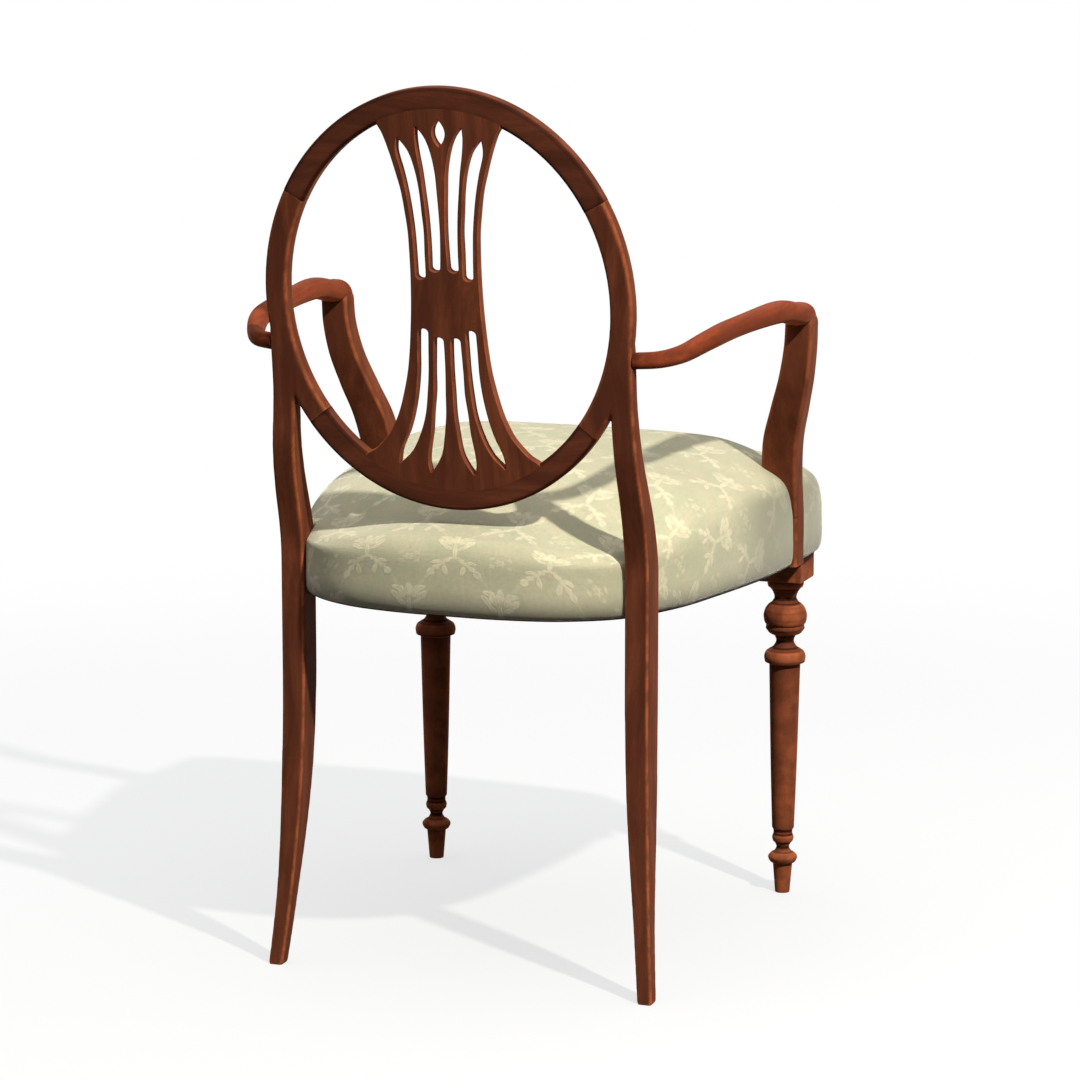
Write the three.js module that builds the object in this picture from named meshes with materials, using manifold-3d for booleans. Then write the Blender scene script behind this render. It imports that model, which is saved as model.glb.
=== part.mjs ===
// An oval-back open armchair: sabre rear legs that run up into the oval, a pierced splat,
// scrolled arms on shaped supports, turned front legs and a stuffed-over seat.
// Millimetres. +X is the sitter's left, -Y is the front, +Z is up, and the feet stand on Z = 0.

import * as THREE from 'three';
import { mergeVertices } from 'three/addons/utils/BufferGeometryUtils.js';
import Module from 'manifold-3d';

const wasm = await Module();
wasm.setup();

// Fits
const JOINT_GAP = 0.3;
const CLOTH_GAP = 0.4;
const CUT_OVERRUN = 5;

// Oval back: one flat ring, leaning back, with its middle plane through the centre point
const OVAL_HALF_WIDTH = 200.7;
const OVAL_HALF_HEIGHT = 219.9;
const OVAL_OVER_SEAT = 17.6;
const OVAL_BEHIND_POST = 49.9;
const OVAL_RAKE_DEGREES = 5.9;
const RING_FACE = 24.8;
const RING_THICKNESS = 18;
const RING_EDGE_RADIUS = 4;
const CREST_JOINT_DEGREES = 30;
const LOWER_JOINT_DEGREES = -38;
const RING_TENON_LENGTH = 20;
const RING_TENON_WIDTH = 12;
const RING_TENON_THICKNESS = 7;

// Pierced splat in the oval's middle plane
const SPLAT_THICKNESS = 10;
const SPLAT_HALF_WAIST = 37.6;
const SPLAT_TONGUE_DEPTH = 8;
const SPLAT_TONGUE_THICKNESS = 6;
const SPLAT_TOP_TONGUE_HALF_WIDTH = 42;
const SPLAT_FOOT_TONGUE_HALF_WIDTH = 56;
const LENS_HALF_WIDTH = 6.6;
const LENS_LENGTH = 27;
const LENS_BELOW_CREST = 21.6;

// Rear legs
const REAR_FOOT_SIDE = 16.5;
const REAR_FOOT_SPLAY = 16.8;
const REAR_FOOT_SABRE = 27.3;
const POST_BEYOND_RAIL = 3.24;
const POST_FROM_SEAT_BACK = 69.5;
const POST_WIDTH = 26;
const POST_DEPTH = 35;
const POST_CHAMFER = 2.5;
const POST_TOP_IN_OVAL = 15.1;
const POST_TOP_WIDTH = 25.4;
const POST_TOP_BELOW_CENTRE = 38.5;
const SPLAY_BELOW_RAILS = 120;
const BEND_BELOW_RAILS = 10;
const BEND_BELOW_CENTRE = 141.5;
const LEAN_ABOVE_RAILS = 50;
const LEAN_BELOW_CENTRE = 86.5;

// Front legs
const FRONT_LEG_FROM_SIDE = 38.5;
const FRONT_LEG_FROM_FRONT = 53.4;
const FRONT_BLOCK_SIDE = 51;
const FRONT_BLOCK_HEIGHT = 88;
const TURNED_RADIUS = 24.4;
const BLOCK_CHAMFER = 1.5;

// Seat plan and rails
const SEAT_HALF_WIDTH = 250;
const SEAT_DEPTH = 555.4;
const SEAT_FRONT = 283.4;
const SEAT_HUB_FORWARD = 10;
const CROWN_TOP = 533;
const STUFFING_HEIGHT = 83;
const RAIL_DEPTH_FRONT = 56;
const RAIL_DEPTH_REAR = 47;
const RAIL_THICKNESS = 23;
const PADDING_REAR = 4;
const PADDING_FRONT = 14;
const TENON_LENGTH = 16;
const TENON_THICKNESS = 8;
const TENON_SHOULDER = 4;
const TENON_PARTING = 3;
const BRACE_THICKNESS = 22;
const BRACE_LENGTH = 95;
const BRACE_MARGIN = 2.5;

// Upholstery
const SIDE_FALL = 9;
const CORNER_FALL = 17;
const REAR_FALL = 30;
const REAR_EDGE_FALL = 14;
const REAR_CORNER_FALL = 11;
const COVER_THICKNESS = 1.6;
const WEB_WIDTH = 50;
const WEB_THICKNESS = 2;
const WEB_SPACING = 96;
const WEB_SLOPE_RUN = 8;
const WEB_END_MARGIN = 5;
const CANVAS_THICKNESS = 1;
const DUST_COVER_THICKNESS = 1;
const DUST_COVER_MARGIN = 9;

// Arms
const ARM_OVER_SEAT = 141;
const ARM_RISE = 18;
const ARM_TIP_INSET = 0.3;
const ARM_TIP_OVERHANG = 14;
const ARM_ROOT_SIZE = 17;
const ARM_THICKNESS = 20;
const ARM_WIDTH = 23;
const ARM_TIP_WIDTH = 31;
const ARM_TIP_THICKNESS = 24.5;
const ARM_TENON_LENGTH = 12;
const ARM_TENON_SIDE = 8;

// Arm supports
const SUPPORT_FROM_SIDE = 15.4;
const SUPPORT_FROM_FRONT = 138.4;
const SUPPORT_LEAN_OUT = 35.4;
const SUPPORT_SWEEP_BACK = 56;
const SUPPORT_TOP_DEPTH = 26;
const SUPPORT_FOOT_WIDTH = 39.4;
const SUPPORT_FOOT_DEPTH = 30;
const SUPPORT_EDGE_RADIUS = 4;
const SUPPORT_TENON_HEIGHT = 9;
const SUPPORT_TENON_SIDE = 10;

// Wood screws
const SCREW_HEAD_RADIUS = 4.5;
const SCREW_HEAD_HEIGHT = 3.2;
const SCREW_SHANK_RADIUS = 2.3;
const SCREW_POINT_LENGTH = 4;
const SUPPORT_SCREW_BITE = 10;
const BRACE_SCREW_BITE = 20;
const SUPPORT_SCREW_SPACING = 26;

// Facet counts
const CORNER_STEPS = 2;
const LEG_STEPS = 26;
const RING_STEP_DEGREES = 6;
const TURNED_FACETS = 18;
const SCREW_FACETS = 10;
const PLAN_POINTS = 42;
const ARM_STEPS = 22;
const SPLAT_SIDE_STEPS = 26;
const SLOT_STEPS = 7;

const Z_AXIS = new THREE.Vector3(0, 0, 1);
const ovalRake = THREE.MathUtils.degToRad(OVAL_RAKE_DEGREES);
const point = (x, y, z) => new THREE.Vector3(x, y, z);
const lerp = THREE.MathUtils.lerp;
const smooth = (value, low, high) => THREE.MathUtils.smoothstep(value, low, high);

// Heights and places that follow from the sizes
const HALF_TURN_DEGREES = 180;
const seatBack = SEAT_DEPTH - SEAT_FRONT;
const railTop = CROWN_TOP - STUFFING_HEIGHT;
const railBottomFront = railTop - RAIL_DEPTH_FRONT;
const railBottomRear = railTop - RAIL_DEPTH_REAR;
const turnedHeight = railTop - FRONT_BLOCK_HEIGHT;
const frontLegSpread = SEAT_HALF_WIDTH - FRONT_LEG_FROM_SIDE;
const frontLegForward = SEAT_FRONT - FRONT_LEG_FROM_FRONT;
const postBack = seatBack - POST_FROM_SEAT_BACK;
const postTopSpread = OVAL_HALF_WIDTH - POST_TOP_IN_OVAL;
const ovalCentreHeight = CROWN_TOP - REAR_FALL - REAR_EDGE_FALL + OVAL_OVER_SEAT + OVAL_HALF_HEIGHT;
const ovalCentreBack = postBack + OVAL_BEHIND_POST;
const postTopHeight = ovalCentreHeight - POST_TOP_BELOW_CENTRE;
const splayTop = railTop - SPLAY_BELOW_RAILS;
const bendLow = railTop - BEND_BELOW_RAILS;
const bendHigh = ovalCentreHeight - BEND_BELOW_CENTRE;
const leanLow = railTop + LEAN_ABOVE_RAILS;
const leanHigh = ovalCentreHeight - LEAN_BELOW_CENTRE;
const supportFootSpread = SEAT_HALF_WIDTH - SUPPORT_FROM_SIDE;
const supportFootForward = SEAT_FRONT - SUPPORT_FROM_FRONT;
const supportTopSpread = supportFootSpread + SUPPORT_LEAN_OUT;
const supportTopForward = supportFootForward - SUPPORT_SWEEP_BACK;
const supportTopWidth = ARM_TIP_WIDTH;
const armHeight = CROWN_TOP + ARM_OVER_SEAT;
const armTipSpread = supportTopSpread - ARM_TIP_INSET;
const armTipForward = supportTopForward + ARM_TIP_OVERHANG;

const finishes = {
  mahogany: { color: 0x6b3020, roughness: 0.36, metalness: 0 },
  beech: { color: 0xb58c5a, roughness: 0.7, metalness: 0 },
  damask: { color: 0xcfc8a4, roughness: 0.85, metalness: 0 },
  stuffing: { color: 0xd8cfb8, roughness: 0.95, metalness: 0 },
  webbing: { color: 0xa8865a, roughness: 0.95, metalness: 0 },
  hessian: { color: 0xb09468, roughness: 0.95, metalness: 0 },
  lining: { color: 0x1c1b1a, roughness: 0.95, metalness: 0 },
  steel: { color: 0x8d8f92, roughness: 0.4, metalness: 1 },
};

// Solid helpers

function volumeSix(positions, index) {
  const a = new THREE.Vector3();
  const b = new THREE.Vector3();
  const c = new THREE.Vector3();
  let total = 0;
  for (let i = 0; i < index.length; i += 3) {
    a.fromArray(positions, 3 * index[i]);
    b.fromArray(positions, 3 * index[i + 1]);
    c.fromArray(positions, 3 * index[i + 2]);
    total += a.dot(b.cross(c));
  }
  return total;
}

// Turns every face round if the skin faces inwards.
function faceOut(geometry) {
  const index = Array.from(geometry.index.array);
  if (volumeSix(geometry.attributes.position.array, index) < 0) {
    for (let i = 0; i < index.length; i += 3) {
      const swap = index[i];
      index[i] = index[i + 1];
      index[i + 1] = swap;
    }
    geometry.setIndex(index);
  }
  return geometry;
}

function solidFrom(geometry) {
  const bare = geometry.clone();
  bare.deleteAttribute('normal');
  bare.deleteAttribute('uv');
  const merged = faceOut(mergeVertices(bare));
  return new wasm.Manifold(new wasm.Mesh({
    numProp: 3,
    vertProperties: new Float32Array(merged.attributes.position.array),
    triVerts: new Uint32Array(merged.index.array),
  }));
}

function geometryFrom(solid) {
  const mesh = solid.getMesh();
  const geometry = new THREE.BufferGeometry();
  geometry.setAttribute('position', new THREE.BufferAttribute(new Float32Array(mesh.vertProperties), 3));
  geometry.setIndex(Array.from(mesh.triVerts));
  geometry.computeVertexNormals();
  return geometry;
}

function piece(name, solid, finish) {
  const mesh = new THREE.Mesh(geometryFrom(solid), new THREE.MeshStandardMaterial(finishes[finish]));
  mesh.name = name;
  return mesh;
}

// The same solid on the sitter's right.
function mirrored(solid) {
  const geometry = geometryFrom(solid);
  geometry.scale(-1, 1, 1);
  return solidFrom(geometry);
}

// Closed skin over rings of points, with a fan over each end.
function loft(rings) {
  const count = rings[0].length;
  const positions = [];
  const index = [];
  for (const ring of rings) {
    for (const p of ring) positions.push(p.x, p.y, p.z);
  }
  for (let r = 0; r + 1 < rings.length; r += 1) {
    for (let i = 0; i < count; i += 1) {
      const a = r * count + i;
      const b = r * count + (i + 1) % count;
      index.push(a, b, b + count, a, b + count, a + count);
    }
  }
  const last = (rings.length - 1) * count;
  for (const [start, turn] of [[0, 1], [last, -1]]) {
    const middle = new THREE.Vector3();
    for (let i = 0; i < count; i += 1) middle.add(rings[start / count][i]);
    middle.divideScalar(count);
    const hub = positions.length / 3;
    positions.push(middle.x, middle.y, middle.z);
    for (let i = 0; i < count; i += 1) {
      const a = start + i;
      const b = start + (i + 1) % count;
      if (turn > 0) index.push(hub, b, a);
      else index.push(hub, a, b);
    }
  }
  const geometry = new THREE.BufferGeometry();
  geometry.setAttribute('position', new THREE.Float32BufferAttribute(positions, 3));
  geometry.setIndex(index);
  return solidFrom(geometry);
}

// Outline of a rectangle with round corners, anticlockwise, as pairs.
function roundedRectangle(width, depth, radius, steps) {
  const outline = [];
  const corners = [[1, 1, 0], [-1, 1, 1], [-1, -1, 2], [1, -1, 3]];
  for (const [sx, sy, quarter] of corners) {
    for (let i = 0; i <= steps; i += 1) {
      const angle = (quarter + i / steps) * Math.PI / 2;
      outline.push([
        sx * (width / 2 - radius) + radius * Math.cos(angle),
        sy * (depth / 2 - radius) + radius * Math.sin(angle),
      ]);
    }
  }
  return outline;
}

// The outline laid on two directions round a centre.
function ringOn(centre, across, up, outline) {
  return outline.map(([u, v]) => centre.clone().addScaledVector(across, u).addScaledVector(up, v));
}

function boxAt(centre, size, across, along, up) {
  const geometry = new THREE.BoxGeometry(size.x, size.y, size.z);
  const frame = new THREE.Matrix4().makeBasis(across, along, up).setPosition(centre);
  geometry.applyMatrix4(frame);
  return solidFrom(geometry);
}

function boxBetween(low, high) {
  const size = high.clone().sub(low);
  const centre = low.clone().add(high).multiplyScalar(1 / 2);
  return boxAt(centre, size, point(1, 0, 0), point(0, 1, 0), Z_AXIS);
}

// Oval back

const backFrame = new THREE.Matrix4()
  .makeRotationX(Math.PI / 2 - ovalRake)
  .setPosition(0, ovalCentreBack, ovalCentreHeight);

// Depth of the oval's middle plane at a height.
const ovalPlaneAt = (height) => ovalCentreBack + (height - ovalCentreHeight) * Math.tan(ovalRake);

const onOval = (angle, inset) => point(
  (OVAL_HALF_WIDTH - inset) * Math.cos(angle),
  (OVAL_HALF_HEIGHT - inset) * Math.sin(angle),
  0,
);

// Centre, outward direction and running direction of the ring at an angle, in the oval's plane.
function ringStation(degrees) {
  const angle = THREE.MathUtils.degToRad(degrees);
  const outer = onOval(angle, 0);
  const inner = onOval(angle, RING_FACE);
  const centre = outer.clone().add(inner).multiplyScalar(1 / 2);
  const outward = outer.clone().sub(inner).normalize();
  const running = point(-outward.y, outward.x, 0);
  return { centre, outward, running, face: outer.distanceTo(inner) };
}

function ringArc(startDegrees, endDegrees) {
  const steps = Math.ceil((endDegrees - startDegrees) / RING_STEP_DEGREES);
  const rings = [];
  for (let i = 0; i <= steps; i += 1) {
    const station = ringStation(lerp(startDegrees, endDegrees, i / steps));
    const outline = roundedRectangle(station.face, RING_THICKNESS, RING_EDGE_RADIUS, CORNER_STEPS);
    rings.push(ringOn(station.centre, station.outward, Z_AXIS, outline));
  }
  return loft(rings);
}

// Tenon across the ring's joint at an angle, rooted as deep as it stands out.
function ringTenon(degrees, play) {
  const { centre, outward, running } = ringStation(degrees);
  const size = point(
    RING_TENON_WIDTH + 2 * play,
    2 * RING_TENON_LENGTH + 2 * play,
    RING_TENON_THICKNESS + 2 * play,
  );
  return boxAt(centre, size, outward, running, Z_AXIS);
}

// Half of the gap at each ring joint, as an angle at the ring's mean radius.
const ringGapDegrees = THREE.MathUtils.radToDeg(JOINT_GAP / 2 / (OVAL_HALF_WIDTH - RING_FACE));

// Splat, drawn in the oval's plane

const innerHalfHeight = OVAL_HALF_HEIGHT - RING_FACE;
const lensMiddle = innerHalfHeight - LENS_BELOW_CREST;

// The splat's back is flush with the ring's, and its tongues run along its front face.
const splatPlane = (SPLAT_THICKNESS - RING_THICKNESS) / 2;
const tonguePlane = splatPlane + (SPLAT_THICKNESS - SPLAT_TONGUE_THICKNESS) / 2;

// Half width of the splat, as shares of its waist, against height as shares of the opening.
const splatEdgeShares = [
  [-0.862, 2.62], [-0.84, 2.5], [-0.81, 2.24], [-0.76, 1.98], [-0.705, 1.755], [-0.6, 1.5],
  [-0.49, 1.33], [-0.38, 1.2], [-0.27, 1.12], [-0.165, 1.07], [-0.06, 1.03], [0.05, 1.005],
  [0.155, 0.995], [0.26, 1], [0.37, 1.02], [0.47, 1.08], [0.58, 1.165], [0.68, 1.3],
  [0.785, 1.46], [0.88, 1.64], [0.93, 1.79],
];

// Middle and half width of the pierced slots on one side, as shares of the splat's waist,
// against height as shares of the opening.
const upperOuterSlotShares = [
  [0.118, 0.69, 0.13], [0.155, 0.69, 0.135], [0.26, 0.7, 0.14], [0.37, 0.712, 0.155],
  [0.47, 0.757, 0.16], [0.58, 0.82, 0.178], [0.68, 0.915, 0.188], [0.785, 1.07, 0.17],
  [0.86, 1.205, 0.01],
];
const upperInnerSlotShares = [
  [0.16, 0.27, 0.14], [0.26, 0.255, 0.15], [0.37, 0.254, 0.163], [0.47, 0.275, 0.171],
  [0.58, 0.318, 0.185], [0.68, 0.362, 0.195], [0.785, 0.455, 0.185], [0.86, 0.545, 0.13],
  [0.919, 0.65, 0.01],
];
const lowerOuterSlotShares = [
  [-0.148, 0.69, 0.12], [-0.165, 0.694, 0.135], [-0.27, 0.717, 0.142], [-0.38, 0.74, 0.142],
  [-0.49, 0.8, 0.15], [-0.6, 0.896, 0.17], [-0.705, 1.06, 0.172], [-0.81, 1.32, 0.16],
  [-0.882, 1.54, 0.01],
];
const lowerInnerSlotShares = [
  [-0.192, 0.245, 0.125], [-0.27, 0.249, 0.142], [-0.38, 0.263, 0.157], [-0.49, 0.28, 0.157],
  [-0.6, 0.323, 0.187], [-0.705, 0.38, 0.185], [-0.81, 0.475, 0.187], [-0.87, 0.56, 0.13],
  [-0.923, 0.635, 0.01],
];

// A smooth curve through rows of a share table: height, then one or more values.
function shareCurve(rows) {
  const curve = new THREE.CatmullRomCurve3(rows.map(([h, a, b]) => point(h, a, b ?? 0)));
  return (t) => curve.getPoint(t);
}

function splatOutline() {
  const edge = shareCurve(splatEdgeShares);
  const outline = [];
  for (let i = 0; i <= SPLAT_SIDE_STEPS; i += 1) {
    const p = edge(i / SPLAT_SIDE_STEPS);
    outline.push(new THREE.Vector2(p.y * SPLAT_HALF_WAIST, p.x * innerHalfHeight));
  }
  outline.unshift(new THREE.Vector2(outline[0].x, -innerHalfHeight - CUT_OVERRUN));
  outline.push(new THREE.Vector2(outline[outline.length - 1].x, innerHalfHeight + CUT_OVERRUN));
  return outline;
}

// The strip that the splat's two long edges bound, longer than the opening at both ends.
function splatStrip() {
  const right = splatOutline();
  const left = right.map((p) => new THREE.Vector2(-p.x, p.y)).reverse();
  return extruded(new THREE.Shape([...right, ...left]), SPLAT_THICKNESS, splatPlane);
}

function extruded(shape, depth, middle = 0) {
  const geometry = new THREE.ExtrudeGeometry(shape, { depth, bevelEnabled: false, steps: 1 });
  geometry.translate(0, 0, middle - depth / 2);
  return solidFrom(geometry);
}

function slot(rows, side) {
  const curve = shareCurve(rows);
  const inner = [];
  const outer = [];
  for (let i = 0; i <= SLOT_STEPS; i += 1) {
    const p = curve(i / SLOT_STEPS);
    const height = p.x * innerHalfHeight;
    inner.push(new THREE.Vector2(side * (p.y - p.z) * SPLAT_HALF_WAIST, height));
    outer.push(new THREE.Vector2(side * (p.y + p.z) * SPLAT_HALF_WAIST, height));
  }
  const shape = new THREE.Shape([...inner, ...outer.reverse()]);
  return extruded(shape, SPLAT_THICKNESS + CUT_OVERRUN, splatPlane);
}

function lensHole() {
  const shape = new THREE.Shape();
  const reach = LENS_LENGTH / 2;
  shape.moveTo(0, lensMiddle - reach);
  shape.quadraticCurveTo(2 * LENS_HALF_WIDTH, lensMiddle, 0, lensMiddle + reach);
  shape.quadraticCurveTo(-2 * LENS_HALF_WIDTH, lensMiddle, 0, lensMiddle - reach);
  const outline = new THREE.Shape(shape.getPoints(SLOT_STEPS));
  return extruded(outline, SPLAT_THICKNESS + CUT_OVERRUN, splatPlane);
}

function ovalPlate(inset, thickness) {
  const shape = new THREE.Shape();
  const steps = Math.round(2 * HALF_TURN_DEGREES / RING_STEP_DEGREES);
  for (let i = 0; i < steps; i += 1) {
    const p = onOval(2 * Math.PI * i / steps, inset);
    if (i === 0) shape.moveTo(p.x, p.y);
    else shape.lineTo(p.x, p.y);
  }
  return extruded(shape, thickness);
}

// Tongues at the splat's head and foot, which stand in grooves in the ring.
function splatTongue(way, halfWidth, play) {
  const reach = innerHalfHeight + SPLAT_TONGUE_DEPTH + play;
  const root = innerHalfHeight - 2 * SPLAT_TONGUE_DEPTH;
  const half = halfWidth + play;
  const skin = SPLAT_TONGUE_THICKNESS / 2 + play;
  return boxBetween(
    point(-half, Math.min(way * root, way * reach), tonguePlane - skin),
    point(half, Math.max(way * root, way * reach), tonguePlane + skin),
  );
}

function splat() {
  const opening = ovalPlate(RING_FACE + JOINT_GAP, RING_THICKNESS + CUT_OVERRUN);
  let solid = splatStrip().intersect(opening);
  solid = solid.add(splatTongue(1, SPLAT_TOP_TONGUE_HALF_WIDTH, 0));
  solid = solid.add(splatTongue(-1, SPLAT_FOOT_TONGUE_HALF_WIDTH, 0));
  const slots = [upperOuterSlotShares, upperInnerSlotShares, lowerOuterSlotShares, lowerInnerSlotShares];
  for (const rows of slots) {
    solid = solid.subtract(slot(rows, 1)).subtract(slot(rows, -1));
  }
  return solid.subtract(lensHole());
}

function crestRail() {
  const low = CREST_JOINT_DEGREES + ringGapDegrees;
  let solid = ringArc(low, HALF_TURN_DEGREES - low);
  solid = solid.subtract(ringTenon(CREST_JOINT_DEGREES, JOINT_GAP));
  solid = solid.subtract(ringTenon(HALF_TURN_DEGREES - CREST_JOINT_DEGREES, JOINT_GAP));
  return solid.subtract(splatTongue(1, SPLAT_TOP_TONGUE_HALF_WIDTH, JOINT_GAP));
}

function lowerBackRail() {
  const high = LOWER_JOINT_DEGREES - ringGapDegrees;
  let solid = ringArc(-HALF_TURN_DEGREES - high, high);
  solid = solid.add(ringTenon(LOWER_JOINT_DEGREES, 0));
  solid = solid.add(ringTenon(-HALF_TURN_DEGREES - LOWER_JOINT_DEGREES, 0));
  return solid.subtract(splatTongue(-1, SPLAT_FOOT_TONGUE_HALF_WIDTH, JOINT_GAP));
}

// Rear legs

// Growth of the leg from foot to knee, as shares of the growth and of the knee's height.
const taperShares = [[0, 0], [0.18, 0.18], [0.28, 0.42], [0.38, 0.66], [0.5, 0.88], [0.7, 1], [1, 1]];

function taperAt(share) {
  for (let i = 1; i < taperShares.length; i += 1) {
    const [low, lowValue] = taperShares[i - 1];
    const [high, highValue] = taperShares[i];
    if (share <= high) return lerp(lowValue, highValue, (share - low) / (high - low));
  }
  return 1;
}

// Centre, width and depth of the rear leg at a height.
function rearLegAt(height) {
  const splay = Math.max(0, 1 - height / splayTop) ** 2;
  const lean = smooth(height, leanLow, leanHigh);
  const grown = taperAt(height / bendLow);
  const thinned = smooth(height, bendLow, leanHigh);
  const spread = postSpread + splay * REAR_FOOT_SPLAY;
  return {
    x: lerp(spread, postTopSpread, lean),
    y: rearLegDepthAt(height) + splay * REAR_FOOT_SABRE,
    width: lerp(lerp(REAR_FOOT_SIDE, POST_WIDTH, grown), POST_TOP_WIDTH, lean),
    depth: lerp(lerp(REAR_FOOT_SIDE, POST_DEPTH, grown), RING_THICKNESS, thinned),
  };
}

// Upright to the bend, then a smooth curve back into the oval's leaning plane.
function rearLegDepthAt(height) {
  if (height <= bendLow) return postBack;
  if (height >= bendHigh) return ovalPlaneAt(height);
  const run = bendHigh - bendLow;
  const t = (height - bendLow) / run;
  const rise = 3 * t ** 2 - 2 * t ** 3;
  const lean = t ** 3 - t ** 2;
  const end = ovalPlaneAt(bendHigh);
  return postBack + (end - postBack) * rise + run * Math.tan(ovalRake) * lean;
}

function rearLegPost() {
  const rings = [];
  for (let i = 0; i <= LEG_STEPS; i += 1) {
    const height = postTopHeight * i / LEG_STEPS;
    const { x, y, width, depth } = rearLegAt(height);
    const outline = roundedRectangle(width, depth, POST_CHAMFER, 1);
    rings.push(ringOn(point(x, y, height), point(1, 0, 0), point(0, 1, 0), outline));
  }
  return loft(rings);
}

function rearLeg() {
  const low = LOWER_JOINT_DEGREES + ringGapDegrees;
  const high = CREST_JOINT_DEGREES - ringGapDegrees;
  let side = ringArc(low, high);
  side = side.add(ringTenon(CREST_JOINT_DEGREES, 0));
  side = placed(side, backFrame);
  const mortise = placed(ringTenon(LOWER_JOINT_DEGREES, JOINT_GAP), backFrame);
  return rearLegPost().add(side).subtract(mortise).subtract(armTenon(JOINT_GAP));
}

function placed(solid, matrix) {
  const geometry = geometryFrom(solid);
  geometry.applyMatrix4(matrix);
  return solidFrom(geometry);
}

// Seat plan: half outline as shares of the half width and of the reach back or forward.

const planShares = [
  [0, 1], [0.22, 0.993], [0.424, 0.957], [0.552, 0.905], [0.676, 0.823], [0.75, 0.735],
  [0.812, 0.607], [0.872, 0.45], [0.928, 0.19], [0.975, -0.09], [0.998, -0.3], [1, -0.6],
  [0.997, -0.8], [0.97, -0.92], [0.91, -0.952], [0.76, -0.968], [0.42, -0.99], [0, -1],
];

const planHub = point(0, -SEAT_HUB_FORWARD, 0);
const planCurve = new THREE.CatmullRomCurve3(closedPlan(), true);

function closedPlan() {
  const half = planShares.map(([across, along]) => point(
    across * SEAT_HALF_WIDTH,
    along * (along > 0 ? seatBack : SEAT_FRONT),
    0,
  ));
  const other = half.slice(1, -1).reverse().map((p) => point(-p.x, p.y, 0));
  return [...half, ...other];
}

const valueAt = (value, p) => (typeof value === 'function' ? value(p) : value);

// Points of the plan, each drawn in towards the hub; inset and height may depend on the place.
function planRing(inset, height) {
  const ring = [];
  for (let i = 0; i < PLAN_POINTS; i += 1) {
    const p = planCurve.getPoint(i / PLAN_POINTS);
    const drawn = planHub.clone().lerp(p, 1 - valueAt(inset, p) / p.distanceTo(planHub));
    ring.push(drawn.setZ(valueAt(height, drawn)));
  }
  return ring;
}

function planPrism(inset, low, high) {
  return loft([planRing(inset, low), planRing(inset, high)]);
}

// How far forward a place is, as a share of the seat's depth.
const forwardShare = (p) => (seatBack - p.y) / (seatBack + SEAT_FRONT);

// Padding between the rail's outer face and the seat's outline, thicker to the front.
const padding = (p) => lerp(PADDING_REAR, PADDING_FRONT, forwardShare(p));

// The rails' underside, which rises to the rear.
const railBottom = (p) => lerp(railBottomRear, railBottomFront, forwardShare(p));
const railInnerFace = (p) => padding(p) + RAIL_THICKNESS;

// Room that the legs take in the seat

const postFront = postBack - POST_DEPTH / 2;
const postSpread = sideFaceAt(postFront, padding) + POST_BEYOND_RAIL;
const postInner = postSpread - POST_WIDTH / 2;
const blockInner = frontLegSpread - FRONT_BLOCK_SIDE / 2;
const blockOuter = frontLegSpread + FRONT_BLOCK_SIDE / 2;
const blockFront = -frontLegForward - FRONT_BLOCK_SIDE / 2;
const blockRear = -frontLegForward + FRONT_BLOCK_SIDE / 2;

// Corner behind and outside the rear leg's inner front edge, on the sitter's left.
function rearLegRoom(play) {
  return boxBetween(
    point(postInner - play, postFront - play, railBottomFront - RAIL_THICKNESS),
    point(SEAT_HALF_WIDTH + CUT_OVERRUN, seatBack + CUT_OVERRUN, CROWN_TOP + CUT_OVERRUN),
  );
}

function frontBlockRoom(play) {
  return boxBetween(
    point(blockInner - play, blockFront - play, railBottomFront - RAIL_THICKNESS),
    point(blockOuter + play, blockRear + play, railTop + play),
  );
}

// Both sides of a cut that is drawn for the sitter's left.
const subtractBoth = (solid, cutter) => solid.subtract(cutter).subtract(mirrored(cutter));

// Front legs: a turned leg under a square block that takes the rails

// Height as shares of the turned length, radius as shares of the widest turning.
const turningShares = [
  [0, 0.338], [0.094, 0.45], [0.1, 0.6], [0.113, 0.676], [0.124, 0.58], [0.131, 0.4], [0.146, 0.293],
  [0.158, 0.36], [0.168, 0.475], [0.178, 0.497], [0.19, 0.44], [0.197, 0.435], [0.209, 0.51],
  [0.4, 0.6], [0.733, 0.715], [0.739, 0.92], [0.754, 0.955], [0.767, 0.91], [0.778, 0.74],
  [0.788, 0.53], [0.806, 0.406], [0.82, 0.475], [0.831, 0.74], [0.845, 0.895], [0.856, 0.87],
  [0.87, 0.975], [0.885, 1], [0.903, 0.94], [0.918, 0.8], [0.929, 0.61], [0.943, 0.506],
  [0.957, 0.56], [0.972, 0.7], [0.984, 0.83], [1, 0.845],
];

function turnedLeg() {
  const profile = [new THREE.Vector2(0, 0)];
  for (const [heightShare, radiusShare] of turningShares) {
    profile.push(new THREE.Vector2(radiusShare * TURNED_RADIUS, heightShare * turnedHeight));
  }
  const top = profile[profile.length - 1];
  profile.push(new THREE.Vector2(top.x, top.y + CUT_OVERRUN), new THREE.Vector2(0, top.y + CUT_OVERRUN));
  const geometry = new THREE.LatheGeometry(profile, TURNED_FACETS);
  geometry.rotateX(Math.PI / 2);
  geometry.translate(frontLegSpread, -frontLegForward, 0);
  return solidFrom(geometry);
}

function frontLeg() {
  const outline = roundedRectangle(FRONT_BLOCK_SIDE, FRONT_BLOCK_SIDE, BLOCK_CHAMFER, 1);
  const block = loft([turnedHeight, railTop].map((height) => ringOn(
    point(frontLegSpread, -frontLegForward, height),
    point(1, 0, 0),
    point(0, 1, 0),
    outline,
  )));
  return turnedLeg().add(block)
    .subtract(sideRailTenon(-1, JOINT_GAP))
    .subtract(frontRailTenon(JOINT_GAP));
}

// Seat rails: one bent frame, cut where the legs stand

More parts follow.
